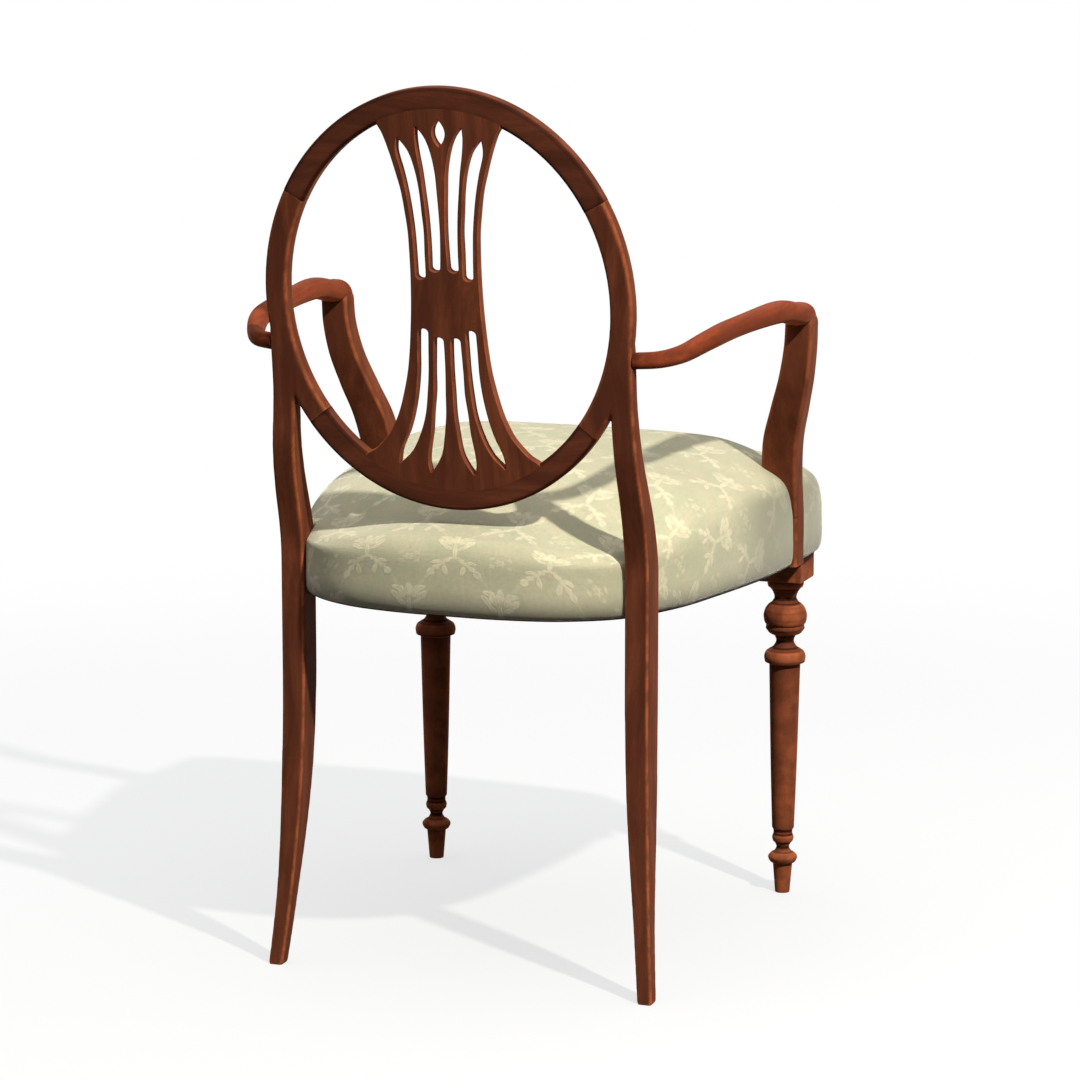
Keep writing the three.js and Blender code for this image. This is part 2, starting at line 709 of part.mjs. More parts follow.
function railBand() {
  const outer = planPrism(padding, railBottom, railTop);
  const inner = planPrism(railInnerFace, railBottomFront - CUT_OVERRUN, railTop + CUT_OVERRUN);
  return outer.subtract(inner);
}

const tenonHeight = (RAIL_DEPTH_REAR - TENON_PARTING) / 2 - TENON_SHOULDER;
const braceHeight = RAIL_DEPTH_REAR - 2 * BRACE_MARGIN;

// Side rail tenons stand low and the front and back rails' tenons high, so that they pass.
const lowTenonHeight = railBottomRear + TENON_SHOULDER + tenonHeight / 2;
const highTenonHeight = railTop - TENON_SHOULDER - tenonHeight / 2;

const tenonSetback = TENON_SHOULDER / 2 + TENON_THICKNESS / 2;

// One tenon that runs along X or Y, with twice its length so that it is rooted in its rail.
function railTenon(centre, alongX, play) {
  const long = 2 * TENON_LENGTH + 2 * play;
  const thick = TENON_THICKNESS + 2 * play;
  const tall = tenonHeight + 2 * play;
  const half = alongX ? point(long / 2, thick / 2, tall / 2) : point(thick / 2, long / 2, tall / 2);
  return boxBetween(centre.clone().sub(half), centre.clone().add(half));
}

// Way is 1 at the rear leg and -1 at the front leg.
function sideRailTenon(way, play) {
  const centre = way > 0
    ? point(postInner + tenonSetback, postFront, lowTenonHeight)
    : point(blockOuter - 2 * tenonSetback, blockRear, lowTenonHeight);
  return railTenon(centre, false, play);
}

const frontRailTenon = (play) => railTenon(
  point(blockInner, blockFront + TENON_SHOULDER + TENON_THICKNESS / 2, highTenonHeight),
  true,
  play,
);

const backRailTenon = (play) => railTenon(
  point(postInner, postFront + TENON_THICKNESS, highTenonHeight),
  true,
  play,
);

const bothTenons = (solid, tenon) => solid.add(tenon).add(mirrored(tenon));

function frontRail() {
  const reach = blockInner - JOINT_GAP;
  const room = boxBetween(
    point(-reach, -SEAT_FRONT - CUT_OVERRUN, railBottomFront - CUT_OVERRUN),
    point(reach, blockRear, railTop + CUT_OVERRUN),
  );
  return bothTenons(railBand().intersect(room), frontRailTenon(0));
}

function backRail() {
  const reach = postInner - JOINT_GAP;
  const room = boxBetween(
    point(-reach, postFront, railBottomFront - CUT_OVERRUN),
    point(reach, seatBack + CUT_OVERRUN, railTop + CUT_OVERRUN),
  );
  return bothTenons(railBand().intersect(room), backRailTenon(0));
}

function sideRail() {
  const room = boxBetween(
    point(0, blockRear + JOINT_GAP, railBottomFront - CUT_OVERRUN),
    point(SEAT_HALF_WIDTH + CUT_OVERRUN, postFront - JOINT_GAP, railTop + CUT_OVERRUN),
  );
  return railBand().intersect(room).add(sideRailTenon(1, 0)).add(sideRailTenon(-1, 0));
}

// Corner braces: bars across the corners inside the rails, one screw through each into its leg

const frontCorner = point(blockInner, blockRear, (lowTenonHeight + highTenonHeight) / 2);
const rearCorner = point(postInner, postFront, (lowTenonHeight + highTenonHeight) / 2);

// Outward direction of a corner on the sitter's left; way is 1 at the rear and -1 at the front.
const cornerOutward = (way) => point(1, way, 0).normalize();

function cornerBrace(corner, way) {
  const outward = cornerOutward(way);
  const along = point(-outward.y, outward.x, 0);
  const centre = corner.clone().addScaledVector(outward, -BRACE_THICKNESS / 2 - 2 * JOINT_GAP);
  const size = point(BRACE_THICKNESS, BRACE_LENGTH, braceHeight);
  const bar = boxAt(centre, size, outward, along, Z_AXIS);
  const inside = planPrism((p) => railInnerFace(p) + JOINT_GAP, railBottomFront, railTop);
  return bar.intersect(inside);
}

// A countersunk screw, head first, from a point on the surface along a direction; with play it
// is the screw's hole, which runs on out of the surface.
function screw(start, direction, length, play) {
  const head = SCREW_HEAD_RADIUS + play;
  const shank = SCREW_SHANK_RADIUS + play;
  const mouth = play > 0 ? -CUT_OVERRUN : 0;
  const profile = [
    new THREE.Vector2(0, mouth),
    new THREE.Vector2(head, mouth),
    ...(play > 0 ? [new THREE.Vector2(head, 0)] : []),
    new THREE.Vector2(shank, SCREW_HEAD_HEIGHT),
    new THREE.Vector2(shank, length - SCREW_POINT_LENGTH),
    new THREE.Vector2(0, length + play),
  ];
  const geometry = new THREE.LatheGeometry(profile, SCREW_FACETS);
  const turn = new THREE.Quaternion().setFromUnitVectors(point(0, 1, 0), direction);
  geometry.applyQuaternion(turn);
  geometry.translate(start.x, start.y, start.z);
  return solidFrom(geometry);
}

// Where the screw of a corner brace starts, just under the brace's inner face.
function braceScrew(corner, way, play) {
  const outward = cornerOutward(way);
  const start = corner.clone().addScaledVector(outward, -BRACE_THICKNESS - JOINT_GAP);
  return screw(start, outward, BRACE_THICKNESS + BRACE_SCREW_BITE, play);
}

// Screws from inside the side rail into the arm support's cheek.
function supportScrew(order, play) {
  const height = (railBottomFront + railTop) / 2 + order * SUPPORT_SCREW_SPACING / 2;
  const outerFace = sideFaceAt(-supportFootForward, padding);
  const innerFace = sideFaceAt(-supportFootForward, railInnerFace);
  const start = point(innerFace + JOINT_GAP, -supportFootForward, height);
  return screw(start, point(1, 0, 0), outerFace - innerFace + SUPPORT_SCREW_BITE, play);
}

// Half width of an inset plan at a place along the seat.
function sideFaceAt(along, inset) {
  const ring = planRing(inset, 0);
  for (let i = 1; i < ring.length; i += 1) {
    const a = ring[i - 1];
    const b = ring[i];
    if (a.x > 0 && b.x > 0 && (a.y - along) * (b.y - along) <= 0) {
      return lerp(a.x, b.x, (along - a.y) / (b.y - a.y));
    }
  }
  return SEAT_HALF_WIDTH;
}

// Arms

// Path of the arm's underside: outward, forward and upward, as shares of its whole runs.
const armPathShares = [
  [0, 0, 0], [0.3, 0.04, 0.02], [0.52, 0.115, 0.17], [0.7, 0.225, 0.6], [0.79, 0.39, 0.85],
  [0.9, 0.6, 0.95], [0.975, 0.77, 0.84], [1, 0.9, 0.36], [1, 1, 0.3],
];
const ARM_SEAT_SHARE = 0.34;
const ARM_NOSE_SHARE = 0.06;
const ARM_NOSE_FALL_SHARE = 0.9;
const ARM_NOSE_NARROWING_SHARE = 0.35;

const armRootSpread = postTopSpread + POST_TOP_WIDTH / 2 + JOINT_GAP;
const armRootBack = ovalPlaneAt(armHeight);
const armLow = armHeight - ARM_ROOT_SIZE / 2;
const armSeatHeight = armLow + ARM_SEAT_SHARE * ARM_RISE;

function armCurve() {
  return new THREE.CatmullRomCurve3(armPathShares.map(([out, ahead, up]) => point(
    lerp(armRootSpread, armTipSpread, out),
    lerp(armRootBack, -armTipForward, ahead),
    armLow + ARM_RISE * up,
  )));
}

// Width and thickness along the arm. At the end its top falls in a quarter round to the support's front.
function armSection(share) {
  const swell = smooth(share, 0, 0.4);
  const widen = smooth(share, 0.45, 0.9);
  const into = Math.max(0, 1 - (1 - share) / ARM_NOSE_SHARE);
  const narrowing = Math.sqrt(1 - ARM_NOSE_NARROWING_SHARE * into ** 2);
  const falling = Math.sqrt(1 - ARM_NOSE_FALL_SHARE * into ** 2);
  const width = lerp(lerp(ARM_ROOT_SIZE, ARM_WIDTH, swell), ARM_TIP_WIDTH, widen) * narrowing;
  const thickness = lerp(lerp(ARM_ROOT_SIZE, ARM_THICKNESS, swell), ARM_TIP_THICKNESS, widen) * falling;
  return { width, thickness };
}

// How much of the section's half is taken by its round edges, along the arm and at its tip.
const ARM_ROUND_SHARE = 0.92;
const ARM_TIP_ROUND_SHARE = 0.85;

function arm() {
  const curve = armCurve();
  const rings = [];
  for (let i = 0; i <= ARM_STEPS; i += 1) {
    const share = i / ARM_STEPS;
    const ahead = i === 0 ? point(1, 0, 0) : curve.getTangentAt(share);
    const across = ahead.clone().cross(Z_AXIS).normalize();
    const up = across.clone().cross(ahead).normalize();
    const { width, thickness } = armSection(share);
    const centre = curve.getPointAt(share).addScaledVector(up, thickness / 2);
    const round = lerp(ARM_ROUND_SHARE, ARM_TIP_ROUND_SHARE, smooth(share, 0.75, 0.95));
    const radius = round * Math.min(width, thickness) / 2;
    rings.push(ringOn(centre, across, up, roundedRectangle(width, thickness, radius, CORNER_STEPS)));
  }
  return loft(rings).add(armTenon(0)).subtract(supportTenon(JOINT_GAP)).subtract(supportSeat());
}

// Flat seat in the arm's underside for the top of its support.
function supportSeat() {
  const width = supportTopWidth + 2 * JOINT_GAP;
  const depth = SUPPORT_TOP_DEPTH + 2 * JOINT_GAP;
  const outline = roundedRectangle(width, depth, SUPPORT_EDGE_RADIUS, CORNER_STEPS);
  return loft([armSeatHeight - ARM_THICKNESS, armSeatHeight + JOINT_GAP].map((height) => ringOn(
    point(supportTopSpread, -supportTopForward, height),
    point(1, 0, 0),
    point(0, 1, 0),
    outline,
  )));
}

// Square tenon from the arm's root into the rear leg.
function armTenon(play) {
  const reach = ARM_TENON_LENGTH + play;
  const half = ARM_TENON_SIDE / 2 + play;
  return boxBetween(
    point(armRootSpread - reach, armRootBack - half, armHeight - half),
    point(armRootSpread + ARM_TENON_SIDE, armRootBack + half, armHeight + half),
  );
}

// Arm supports

// Centre of the support from rail to arm: height, then run outward and rearward, as shares.
const supportShares = [
  [-0.3, 0, 0], [0, 0, 0], [0.07, 0.005, 0.05], [0.2, 0.03, 0.18], [0.39, 0.17, 0.42],
  [0.57, 0.5, 0.68], [0.75, 0.82, 0.89], [0.9, 0.97, 0.98], [1, 1, 1],
];
const SUPPORT_TAPER_SHARE = 0.35;

// Stations from the foot to the top; swelling makes the room that the cloth leaves round it.
function supportRings(swelling) {
  const curve = shareCurve(supportShares);
  const rise = armSeatHeight - railTop;
  const rings = [];
  const steps = 2 * (supportShares.length - 1);
  const foot = railBottom(point(0, -supportFootForward, 0));
  for (let i = 0; i <= steps; i += 1) {
    const p = curve(i / steps);
    const height = i === 0 ? foot - swelling : railTop + p.x * rise;
    const share = smooth(p.x, SUPPORT_TAPER_SHARE, 1);
    const width = lerp(SUPPORT_FOOT_WIDTH, supportTopWidth, share) + 2 * swelling;
    const depth = lerp(SUPPORT_FOOT_DEPTH, SUPPORT_TOP_DEPTH, share) + 2 * swelling;
    const centre = point(
      lerp(supportFootSpread, supportTopSpread, p.y),
      -lerp(supportFootForward, supportTopForward, p.z),
      height,
    );
    const outline = roundedRectangle(width, depth, SUPPORT_EDGE_RADIUS, CORNER_STEPS);
    rings.push(ringOn(centre, point(1, 0, 0), point(0, 1, 0), outline));
  }
  return rings;
}

function supportTenon(play) {
  const half = SUPPORT_TENON_SIDE / 2 + play;
  return boxBetween(
    point(supportTopSpread - half, -supportTopForward - half, armSeatHeight - SUPPORT_TENON_SIDE),
    point(supportTopSpread + half, -supportTopForward + half, armSeatHeight + SUPPORT_TENON_HEIGHT + play),
  );
}

// The foot is halved over the side rail: a cheek outside it and a shoulder on top of it.
function armSupport() {
  const rail = planPrism(
    (p) => padding(p) - JOINT_GAP,
    railBottomFront - RAIL_THICKNESS,
    railTop + JOINT_GAP,
  );
  const solid = loft(supportRings(0)).subtract(rail).add(supportTenon(0));
  return solid.subtract(supportScrew(1, JOINT_GAP)).subtract(supportScrew(-1, JOINT_GAP));
}

// Upholstery

// Outer skin of the cover from the hem under the rails up over the crown: inset as shares of
// the seat's half width, height as shares of the cover's height.
const coverShares = [
  [0.1, 0], [0.006, 0], [0, 0.03], [0, 0.3], [0.004, 0.5], [0.02, 0.64],
  [0.056, 0.745], [0.125, 0.835], [0.25, 0.915], [0.45, 0.97], [0.68, 0.995],
];

const hemBottom = (p) => railBottom(p) - CLOTH_GAP - COVER_THICKNESS;

// How far the crown sinks to the sides, the corners and the rear: nothing at the hem, full on top.
function crownFall(p, up) {
  const side = SIDE_FALL * (p.x / SEAT_HALF_WIDTH) ** 2;
  const corner = CORNER_FALL * smooth(p.distanceTo(planHub) / SEAT_HALF_WIDTH, 0.98, 1.36);
  const rear = REAR_FALL * (Math.max(0, p.y) / seatBack) ** 2;
  const toRear = smooth(p.y / seatBack, 0.2, 0.8);
  const toCorner = smooth(Math.abs(p.x) / SEAT_HALF_WIDTH, 0.25, 0.65);
  const edge = toRear * (REAR_EDGE_FALL + REAR_CORNER_FALL * toCorner);
  const whole = (side + corner) * smooth(up, 0.3, 0.7) + edge * smooth(up, 0.4, 0.85);
  return whole + rear * smooth(up, 0.7, 0.95);
}

const coverTop = (up) => (p) => lerp(hemBottom(p), CROWN_TOP, up) - crownFall(p, up);

// The skin's rows, moved in by a distance, level below the seat's edge and downwards above it.
function coverRows(into) {
  return coverShares.map(([inset, up], row) => {
    const down = row < 2 ? -into : into * smooth(up, 0.4, 0.8);
    const aside = row === 0 ? 0 : into;
    const top = coverTop(up);
    return planRing(inset * SEAT_HALF_WIDTH + aside, (p) => top(p.setZ(0)) - down);
  });
}

const crownRing = (ring, into) => ring.map((p) => (
  planHub.clone().lerp(p.clone().setZ(0), 1 / 2).setZ(lerp(p.z, CROWN_TOP - into, 3 / 4))
));

function crowned(rows, into) {
  return loft([...rows, crownRing(rows[rows.length - 1], into)]);
}

function seatCover() {
  const rows = coverRows(COVER_THICKNESS);
  const mouth = rows[0].map((p) => p.clone().setZ(p.z - CUT_OVERRUN));
  let solid = crowned(coverRows(0), 0).subtract(crowned([mouth, ...rows], COVER_THICKNESS));
  solid = subtractBoth(solid, rearLegRoom(CLOTH_GAP));
  solid = subtractBoth(solid, frontBlockRoom(CLOTH_GAP));
  return subtractBoth(solid, loft(supportRings(CLOTH_GAP)));
}

const webLow = railTop + CLOTH_GAP;
const webHigh = webLow + WEB_THICKNESS + CLOTH_GAP;
const canvasLow = webHigh + WEB_THICKNESS + CLOTH_GAP;
const stuffingLow = canvasLow + CANVAS_THICKNESS + CLOTH_GAP;

function seatPad() {
  const into = COVER_THICKNESS + CLOTH_GAP;
  const rows = coverRows(into).filter((row) => row.every((p) => p.z > stuffingLow));
  const foot = rows[0].map((p) => p.clone().setZ(stuffingLow));
  let solid = crowned([foot, ...rows], into);
  solid = subtractBoth(solid, rearLegRoom(CLOTH_GAP));
  return subtractBoth(solid, loft(supportRings(CLOTH_GAP)));
}

// Hessian over the webbing
function seatCanvas() {
  const sheet = planPrism(padding, canvasLow, canvasLow + CANVAS_THICKNESS);
  const trimmed = subtractBoth(sheet, rearLegRoom(CLOTH_GAP));
  return subtractBoth(trimmed, loft(supportRings(CLOTH_GAP)));
}

// Side view of a web that rises over every second web that it crosses.
function webProfile(reach, crossings, risesFirst) {
  const half = WEB_WIDTH / 2 + CLOTH_GAP;
  const low = [[-reach, 0]];
  crossings.forEach((place, i) => {
    if ((i % 2 === 0) !== risesFirst) return;
    const up = webHigh - webLow;
    low.push([place - half - WEB_SLOPE_RUN, 0], [place - half, up]);
    low.push([place + half, up], [place + half + WEB_SLOPE_RUN, 0]);
  });
  low.push([reach, 0]);
  const bottom = low.map(([along, up]) => new THREE.Vector2(along, webLow + up));
  const top = bottom.map((p) => new THREE.Vector2(p.x, p.y + WEB_THICKNESS)).reverse();
  return new THREE.Shape([...bottom, ...top]);
}

const webPlaces = [-WEB_SPACING, 0, WEB_SPACING];

// A web at a place across the seat, running fore and aft or from side to side.
function web(order, foreAndAft) {
  const place = webPlaces[order];
  const reach = SEAT_HALF_WIDTH + seatBack;
  const shape = webProfile(reach, webPlaces, foreAndAft === (order % 2 === 0));
  const strip = extruded(shape, WEB_WIDTH);
  const stand = new THREE.Matrix4().makeBasis(point(0, 1, 0), Z_AXIS, point(1, 0, 0));
  const lie = new THREE.Matrix4().makeBasis(point(-1, 0, 0), Z_AXIS, point(0, 1, 0));
  const turned = placed(strip, foreAndAft ? stand.setPosition(place, 0, 0) : lie.setPosition(0, place, 0));
  const field = planPrism((p) => padding(p) + WEB_END_MARGIN, railTop, canvasLow);
  return turned.intersect(field);
}

// Black lining under the rails, cut round the legs
function dustCover() {
  const top = (p) => hemBottom(p) - CLOTH_GAP;
  const sheet = planPrism(DUST_COVER_MARGIN, (p) => top(p) - DUST_COVER_THICKNESS, top);
  const trimmed = subtractBoth(sheet, rearLegRoom(CLOTH_GAP));
  return subtractBoth(trimmed, frontBlockRoom(CLOTH_GAP));
}

// The chair

const chair = new THREE.Group();
chair.name = 'oval_back_armchair';

const back = new THREE.Group();
back.applyMatrix4(backFrame);
back.add(piece('crest_rail', crestRail(), 'mahogany'));
back.add(piece('lower_back_rail', lowerBackRail(), 'mahogany'));
back.add(piece('splat', splat(), 'mahogany'));
chair.add(back);

// A solid for the sitter's left, and its mirror image for the right.
function addPair(name, solid, finish) {
  chair.add(piece(`${name}_left`, solid, finish));
  chair.add(piece(`${name}_right`, mirrored(solid), finish));
}

const drillRear = (solid) => solid.subtract(braceScrew(rearCorner, 1, JOINT_GAP));
const drillFront = (solid) => solid.subtract(braceScrew(frontCorner, -1, JOINT_GAP));

function drilledRearLeg() {
  return drillRear(rearLeg().subtract(sideRailTenon(1, JOINT_GAP)).subtract(backRailTenon(JOINT_GAP)));
}

function drilledSideRail() {
  const holes = supportScrew(1, JOINT_GAP).add(supportScrew(-1, JOINT_GAP));
  return drillFront(drillRear(sideRail().subtract(holes)));
}

addPair('rear_leg', drilledRearLeg(), 'mahogany');
addPair('front_leg', drillFront(frontLeg()), 'mahogany');
addPair('arm', arm(), 'mahogany');
addPair('arm_support', armSupport(), 'mahogany');
addPair('side_rail', drilledSideRail(), 'beech');
chair.add(piece('front_rail', frontRail(), 'beech'));
chair.add(piece('back_rail', subtractBoth(backRail(), braceScrew(rearCorner, 1, JOINT_GAP)), 'beech'));
addPair('front_corner_brace', drillFront(cornerBrace(frontCorner, -1)), 'beech');
addPair('rear_corner_brace', drillRear(cornerBrace(rearCorner, 1)), 'beech');
addPair('front_brace_screw', braceScrew(frontCorner, -1, 0), 'steel');
addPair('rear_brace_screw', braceScrew(rearCorner, 1, 0), 'steel');
addPair('upper_support_screw', supportScrew(1, 0), 'steel');
addPair('lower_support_screw', supportScrew(-1, 0), 'steel');

webPlaces.forEach((place, order) => {
  chair.add(piece(`long_web_${order + 1}`, web(order, true), 'webbing'));
  chair.add(piece(`cross_web_${order + 1}`, web(order, false), 'webbing'));
});
chair.add(piece('seat_canvas', seatCanvas(), 'hessian'));
chair.add(piece('seat_pad', seatPad(), 'stuffing'));
chair.add(piece('seat_cover', seatCover(), 'damask'));
chair.add(piece('dust_cover', dustCover(), 'lining'));

export default chair;
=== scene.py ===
import math

import bmesh
import bpy
import numpy as np
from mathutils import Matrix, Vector


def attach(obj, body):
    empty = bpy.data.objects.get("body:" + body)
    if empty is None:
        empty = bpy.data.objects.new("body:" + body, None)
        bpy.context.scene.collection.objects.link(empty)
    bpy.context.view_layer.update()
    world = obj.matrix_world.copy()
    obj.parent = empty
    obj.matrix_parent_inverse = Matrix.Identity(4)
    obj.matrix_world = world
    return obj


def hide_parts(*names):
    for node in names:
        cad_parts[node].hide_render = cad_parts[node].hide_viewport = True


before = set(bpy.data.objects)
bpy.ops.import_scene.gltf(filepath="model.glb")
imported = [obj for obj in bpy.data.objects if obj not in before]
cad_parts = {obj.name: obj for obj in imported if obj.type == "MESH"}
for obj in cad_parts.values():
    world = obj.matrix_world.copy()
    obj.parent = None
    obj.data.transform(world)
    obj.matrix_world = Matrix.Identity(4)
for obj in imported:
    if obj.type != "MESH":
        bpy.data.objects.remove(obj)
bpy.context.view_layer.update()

# Viewpoint. The chair is seen from behind and from the sitter's right, a little above the seat,
# with a long lens that shows the whole chair.
looking_at = Vector((-0.0042, 0.0, 0.4334))
round_degrees, up_degrees, away = 20.622, 10.908, 4.597


def placed(name, data):
    piece = bpy.data.objects.new(name, data)
    bpy.context.scene.collection.objects.link(piece)
    return piece


def aimed(name, data, location, target):
    """A camera or a light that looks at a target."""
    thing = placed(name, data)
    thing.location = location
    thing.rotation_euler = (target - thing.location).to_track_quat("-Z", "Y").to_euler()
    return thing


def settled(thing, **settings):
    """Gives a thing its settings."""
    for key, value in settings.items():
        setattr(thing, key, value)
    return thing


lens = settled(bpy.data.cameras.new("viewpoint"), lens=141.46, sensor_width=36, clip_end=100)
level = math.cos(math.radians(up_degrees))
bpy.context.scene.camera = aimed("viewpoint", lens, looking_at + away * Vector((
    -level * math.sin(math.radians(round_degrees)),
    level * math.cos(math.radians(round_degrees)),
    math.sin(math.radians(up_degrees)),
)), looking_at)

# Oval back. One flat ring of mahogany, sawn in four lengths and tenoned together: the crest
# rail, the lower rail, and on each side the rear leg's own top. The edges are rounded by hand
# and the whole is french polished.
OVAL_HALF_WIDTH, OVAL_HALF_HEIGHT = 0.2007, 0.2199
OVAL_CENTRE = np.array([0.0, 0.2524, 0.7265])
RAKE = math.radians(5.9)
RING_FACE, RING_THICKNESS, RING_ROUND = 0.0248, 0.018, 0.004
CREST_JOINT, LOWER_JOINT = 30.0, -38.0
JOINT_LINE = 0.00005


def steps(start, end, count):
    return np.linspace(start, end, count)


def rounded(width, depth, radius, arc=6, flat=3):
    """Outlines of rectangles with quarter-circle corners, anticlockwise from the right side.
    width, depth and radius are one number or one for each outline. Each corner is the arc
    corner + radius (cos a, sin a) and the flats between have points at even shares."""
    width, depth, radius = np.broadcast_arrays(*map(np.atleast_1d, (width, depth, radius)))
    turn = np.radians(steps(0, 90, arc + 1))
    sides = []
    for quarter, (sx, sy) in enumerate([(1, 1), (-1, 1), (-1, -1), (1, -1)]):
        centre = np.stack([sx * (width / 2 - radius), sy * (depth / 2 - radius)], -1)
        angle = turn + quarter * math.pi / 2
        bend = np.stack([np.cos(angle), np.sin(angle)], -1)
        sides.append(centre[:, None] + radius[:, None, None] * bend)
    rows = []
    for quarter in range(4):
        rows.append(sides[quarter])
        start, end = sides[quarter][:, -1:], sides[(quarter + 1) % 4][:, :1]
        share = steps(0, 1, flat + 2)[1:-1, None]
        rows.append(start + (end - start) * share)
    return np.concatenate(rows, 1)


def carried(centres, across, up, outlines):
    """Rows of points: each outline (u, v) laid at its centre as centre + u across + v up."""
    across, up = (np.broadcast_to(a, centres.shape) for a in (across, up))
    return centres[:, None] + outlines[..., :1] * across[:, None] + outlines[..., 1:] * up[:, None]


def triples(items, what):
    """Reads three numbers for each item of a mesh, such as the places of its points."""
    values = np.empty(len(items) * 3)
    items.foreach_get(what, values)
    return values.reshape(-1, 3)


def smoothed(mesh, sharp):
    """Makes a mesh smooth but for edges that turn by more than sharp degrees."""
    mesh.polygons.foreach_set("use_smooth", np.ones(len(mesh.polygons), bool))
    mesh.set_sharp_from_angle(angle=math.radians(sharp))


def made(name, points, faces, sharp=38):
    """A piece from points and faces."""
    mesh = bpy.data.meshes.new(name)
    mesh.from_pydata(points.tolist(), [], faces)
    mesh.update()
    smoothed(mesh, sharp)
    return placed(name, mesh)


def skin(name, rows, sharp=38):
    """A piece from rows of points that each close on themselves: a quad joins points j and
    j + 1 of rows i and i + 1, and one flat face closes each end."""
    count, around = rows.shape[:2]
    i, j = np.meshgrid(np.arange(count - 1), np.arange(around), indexing="ij")
    k = (j + 1) % around
    quads = np.stack([i * around + j, i * around + k, (i + 1) * around + k, (i + 1) * around + j], -1)
    first, last = list(range(around)), list(range((count - 1) * around, count * around))
    return made(name, rows.reshape(-1, 3), quads.reshape(-1, 4).tolist() + [first[::-1], last], sharp)


def mark_standing_out(piece, reach=0.004):
    """Stores on each point how much it stands out of its neighbours, from -1 in a corner to 1
    on an arris: twice the neighbour's drop under the point's tangent plane over the square of
    its distance, times reach, averaged over the edges and twice over the neighbours."""
    mesh = piece.data
    places, normals = triples(mesh.vertices, "co"), triples(mesh.vertex_normals, "vector")
    edges = np.empty(len(mesh.edges) * 2, np.int32)
    mesh.edges.foreach_get("vertices", edges)
    edges = edges.reshape(-1, 2)
    a, b = np.concatenate([edges, edges[:, ::-1]]).T
    run = places[b] - places[a]
    drop = -2 * (normals[a] * run).sum(1) / np.maximum((run ** 2).sum(1), 1e-12)
    count = np.maximum(np.bincount(a, minlength=len(places)), 1)
    value = np.clip(np.bincount(a, drop, len(places)) / count * reach, -1, 1)
    for _ in range(2):
        value = (value + np.bincount(a, value[b], len(places)) / count) / 2
    mesh.attributes.new("standing_out", "FLOAT", "POINT").data.foreach_set("value", value.astype(np.float32))


def oval_place(degrees, inset=0.0):
    """Points (OVAL_HALF_WIDTH - inset) cos a, (OVAL_HALF_HEIGHT - inset) sin a, on the back's plane."""
    angle = np.radians(degrees)
    return np.stack([(OVAL_HALF_WIDTH - inset) * np.cos(angle),
                     (OVAL_HALF_HEIGHT - inset) * np.sin(angle), 0 * angle], -1)


def in_back(points):
    """From the back's own plane (x across, y up the rake, z forward) to the chair."""
    c, s = math.cos(RAKE), math.sin(RAKE)
    x, y, z = np.moveaxis(np.asarray(points), -1, 0)
    return np.stack([x, y * s - z * c, y * c + z * s], -1) + OVAL_CENTRE


def ring(start, end, count):
    """Rows of the ring between two angles, its section square to the line from its inner to
    its outer edge."""
    degrees = steps(start, end, count)
    outer, inner = oval_place(degrees), oval_place(degrees, RING_FACE)
    face = np.linalg.norm(outer - inner, axis=1)
    outward = (outer - inner) / face[:, None]
    outlines = rounded(face, RING_THICKNESS, RING_ROUND)
    return carried((outer + inner) / 2, outward, np.array([0.0, 0.0, 1.0]), outlines)


def ring_joint(degrees):
    """(middle, direction along the ring) of a joint, in the chair's frame."""
    outer, inner = oval_place(np.array(degrees)), oval_place(np.array(degrees), RING_FACE)
    across = (outer - inner) / np.linalg.norm(outer - inner)
    middle = in_back((outer + inner) / 2)
    return middle, in_back((outer + inner) / 2 + np.array([-across[1], across[0], 0])) - middle


gap = math.degrees(JOINT_LINE / (OVAL_HALF_WIDTH - RING_FACE))
crest_rail = skin("crest_rail_polished", in_back(ring(CREST_JOINT + gap, 180 - CREST_JOINT - gap, 121)))
lower_rail = skin("lower_back_rail_polished", in_back(ring(-180 - LOWER_JOINT + gap, LOWER_JOINT - gap, 105)))


def feed(tree, target, feeds):
    """Feeds a node's sockets, named or numbered, with values or with other nodes' outputs."""
    for socket, value in feeds.items():
        if isinstance(value, bpy.types.NodeSocket):
            tree.links.new(value, target.inputs[socket])
        else:
            target.inputs[socket].default_value = value
    return target


def node(tree, kind, feeds=None, **settings):
    """Adds a node to a tree, sets what it is, and feeds it."""
    return feed(tree, settled(tree.nodes.new(kind), **settings), feeds or {})


def object_place(tree):
    return node(tree, "ShaderNodeTexCoord").outputs["Object"]


def reckon(tree, operation, *values, clamp=False):
    """One Math node, fed in order; returns its output."""
    return node(tree, "ShaderNodeMath", dict(enumerate(values)), operation=operation, use_clamp=clamp).outputs[0]


def between(tree, value, low, high, out_low=0.0, out_high=1.0):
    """value carried from low..high to out_low..out_high, smoothly and clamped."""
    return node(tree, "ShaderNodeMapRange", {0: value, 1: low, 2: high, 3: out_low, 4: out_high},
                interpolation_type="SMOOTHSTEP").outputs[0]


def blend(tree, share, first, second):
    """One colour mixed into another."""
    return node(tree, "ShaderNodeMix", {0: share, 6: first, 7: second}, data_type="RGBA").outputs[2]


def speckle(tree, place, size, detail=2.0, rough=0.5):
    """Noise with spots of about size metres."""
    feeds = {"Vector": place, "Scale": 1 / size, "Detail": detail, "Roughness": rough}
    return node(tree, "ShaderNodeTexNoise", feeds).outputs[0]


def wandering(tree, place, scale, detail, by):
    """A place shifted a little by noise."""
    noise = node(tree, "ShaderNodeTexNoise", {"Vector": place, "Scale": scale, "Detail": detail}).outputs[1]
    return node(tree, "ShaderNodeVectorMath", {0: noise, 1: by, 2: place}, operation="MULTIPLY_ADD").outputs[0]


def stretch(tree, place, by):
    return node(tree, "ShaderNodeVectorMath", {0: place, 1: by}, operation="MULTIPLY").outputs[0]


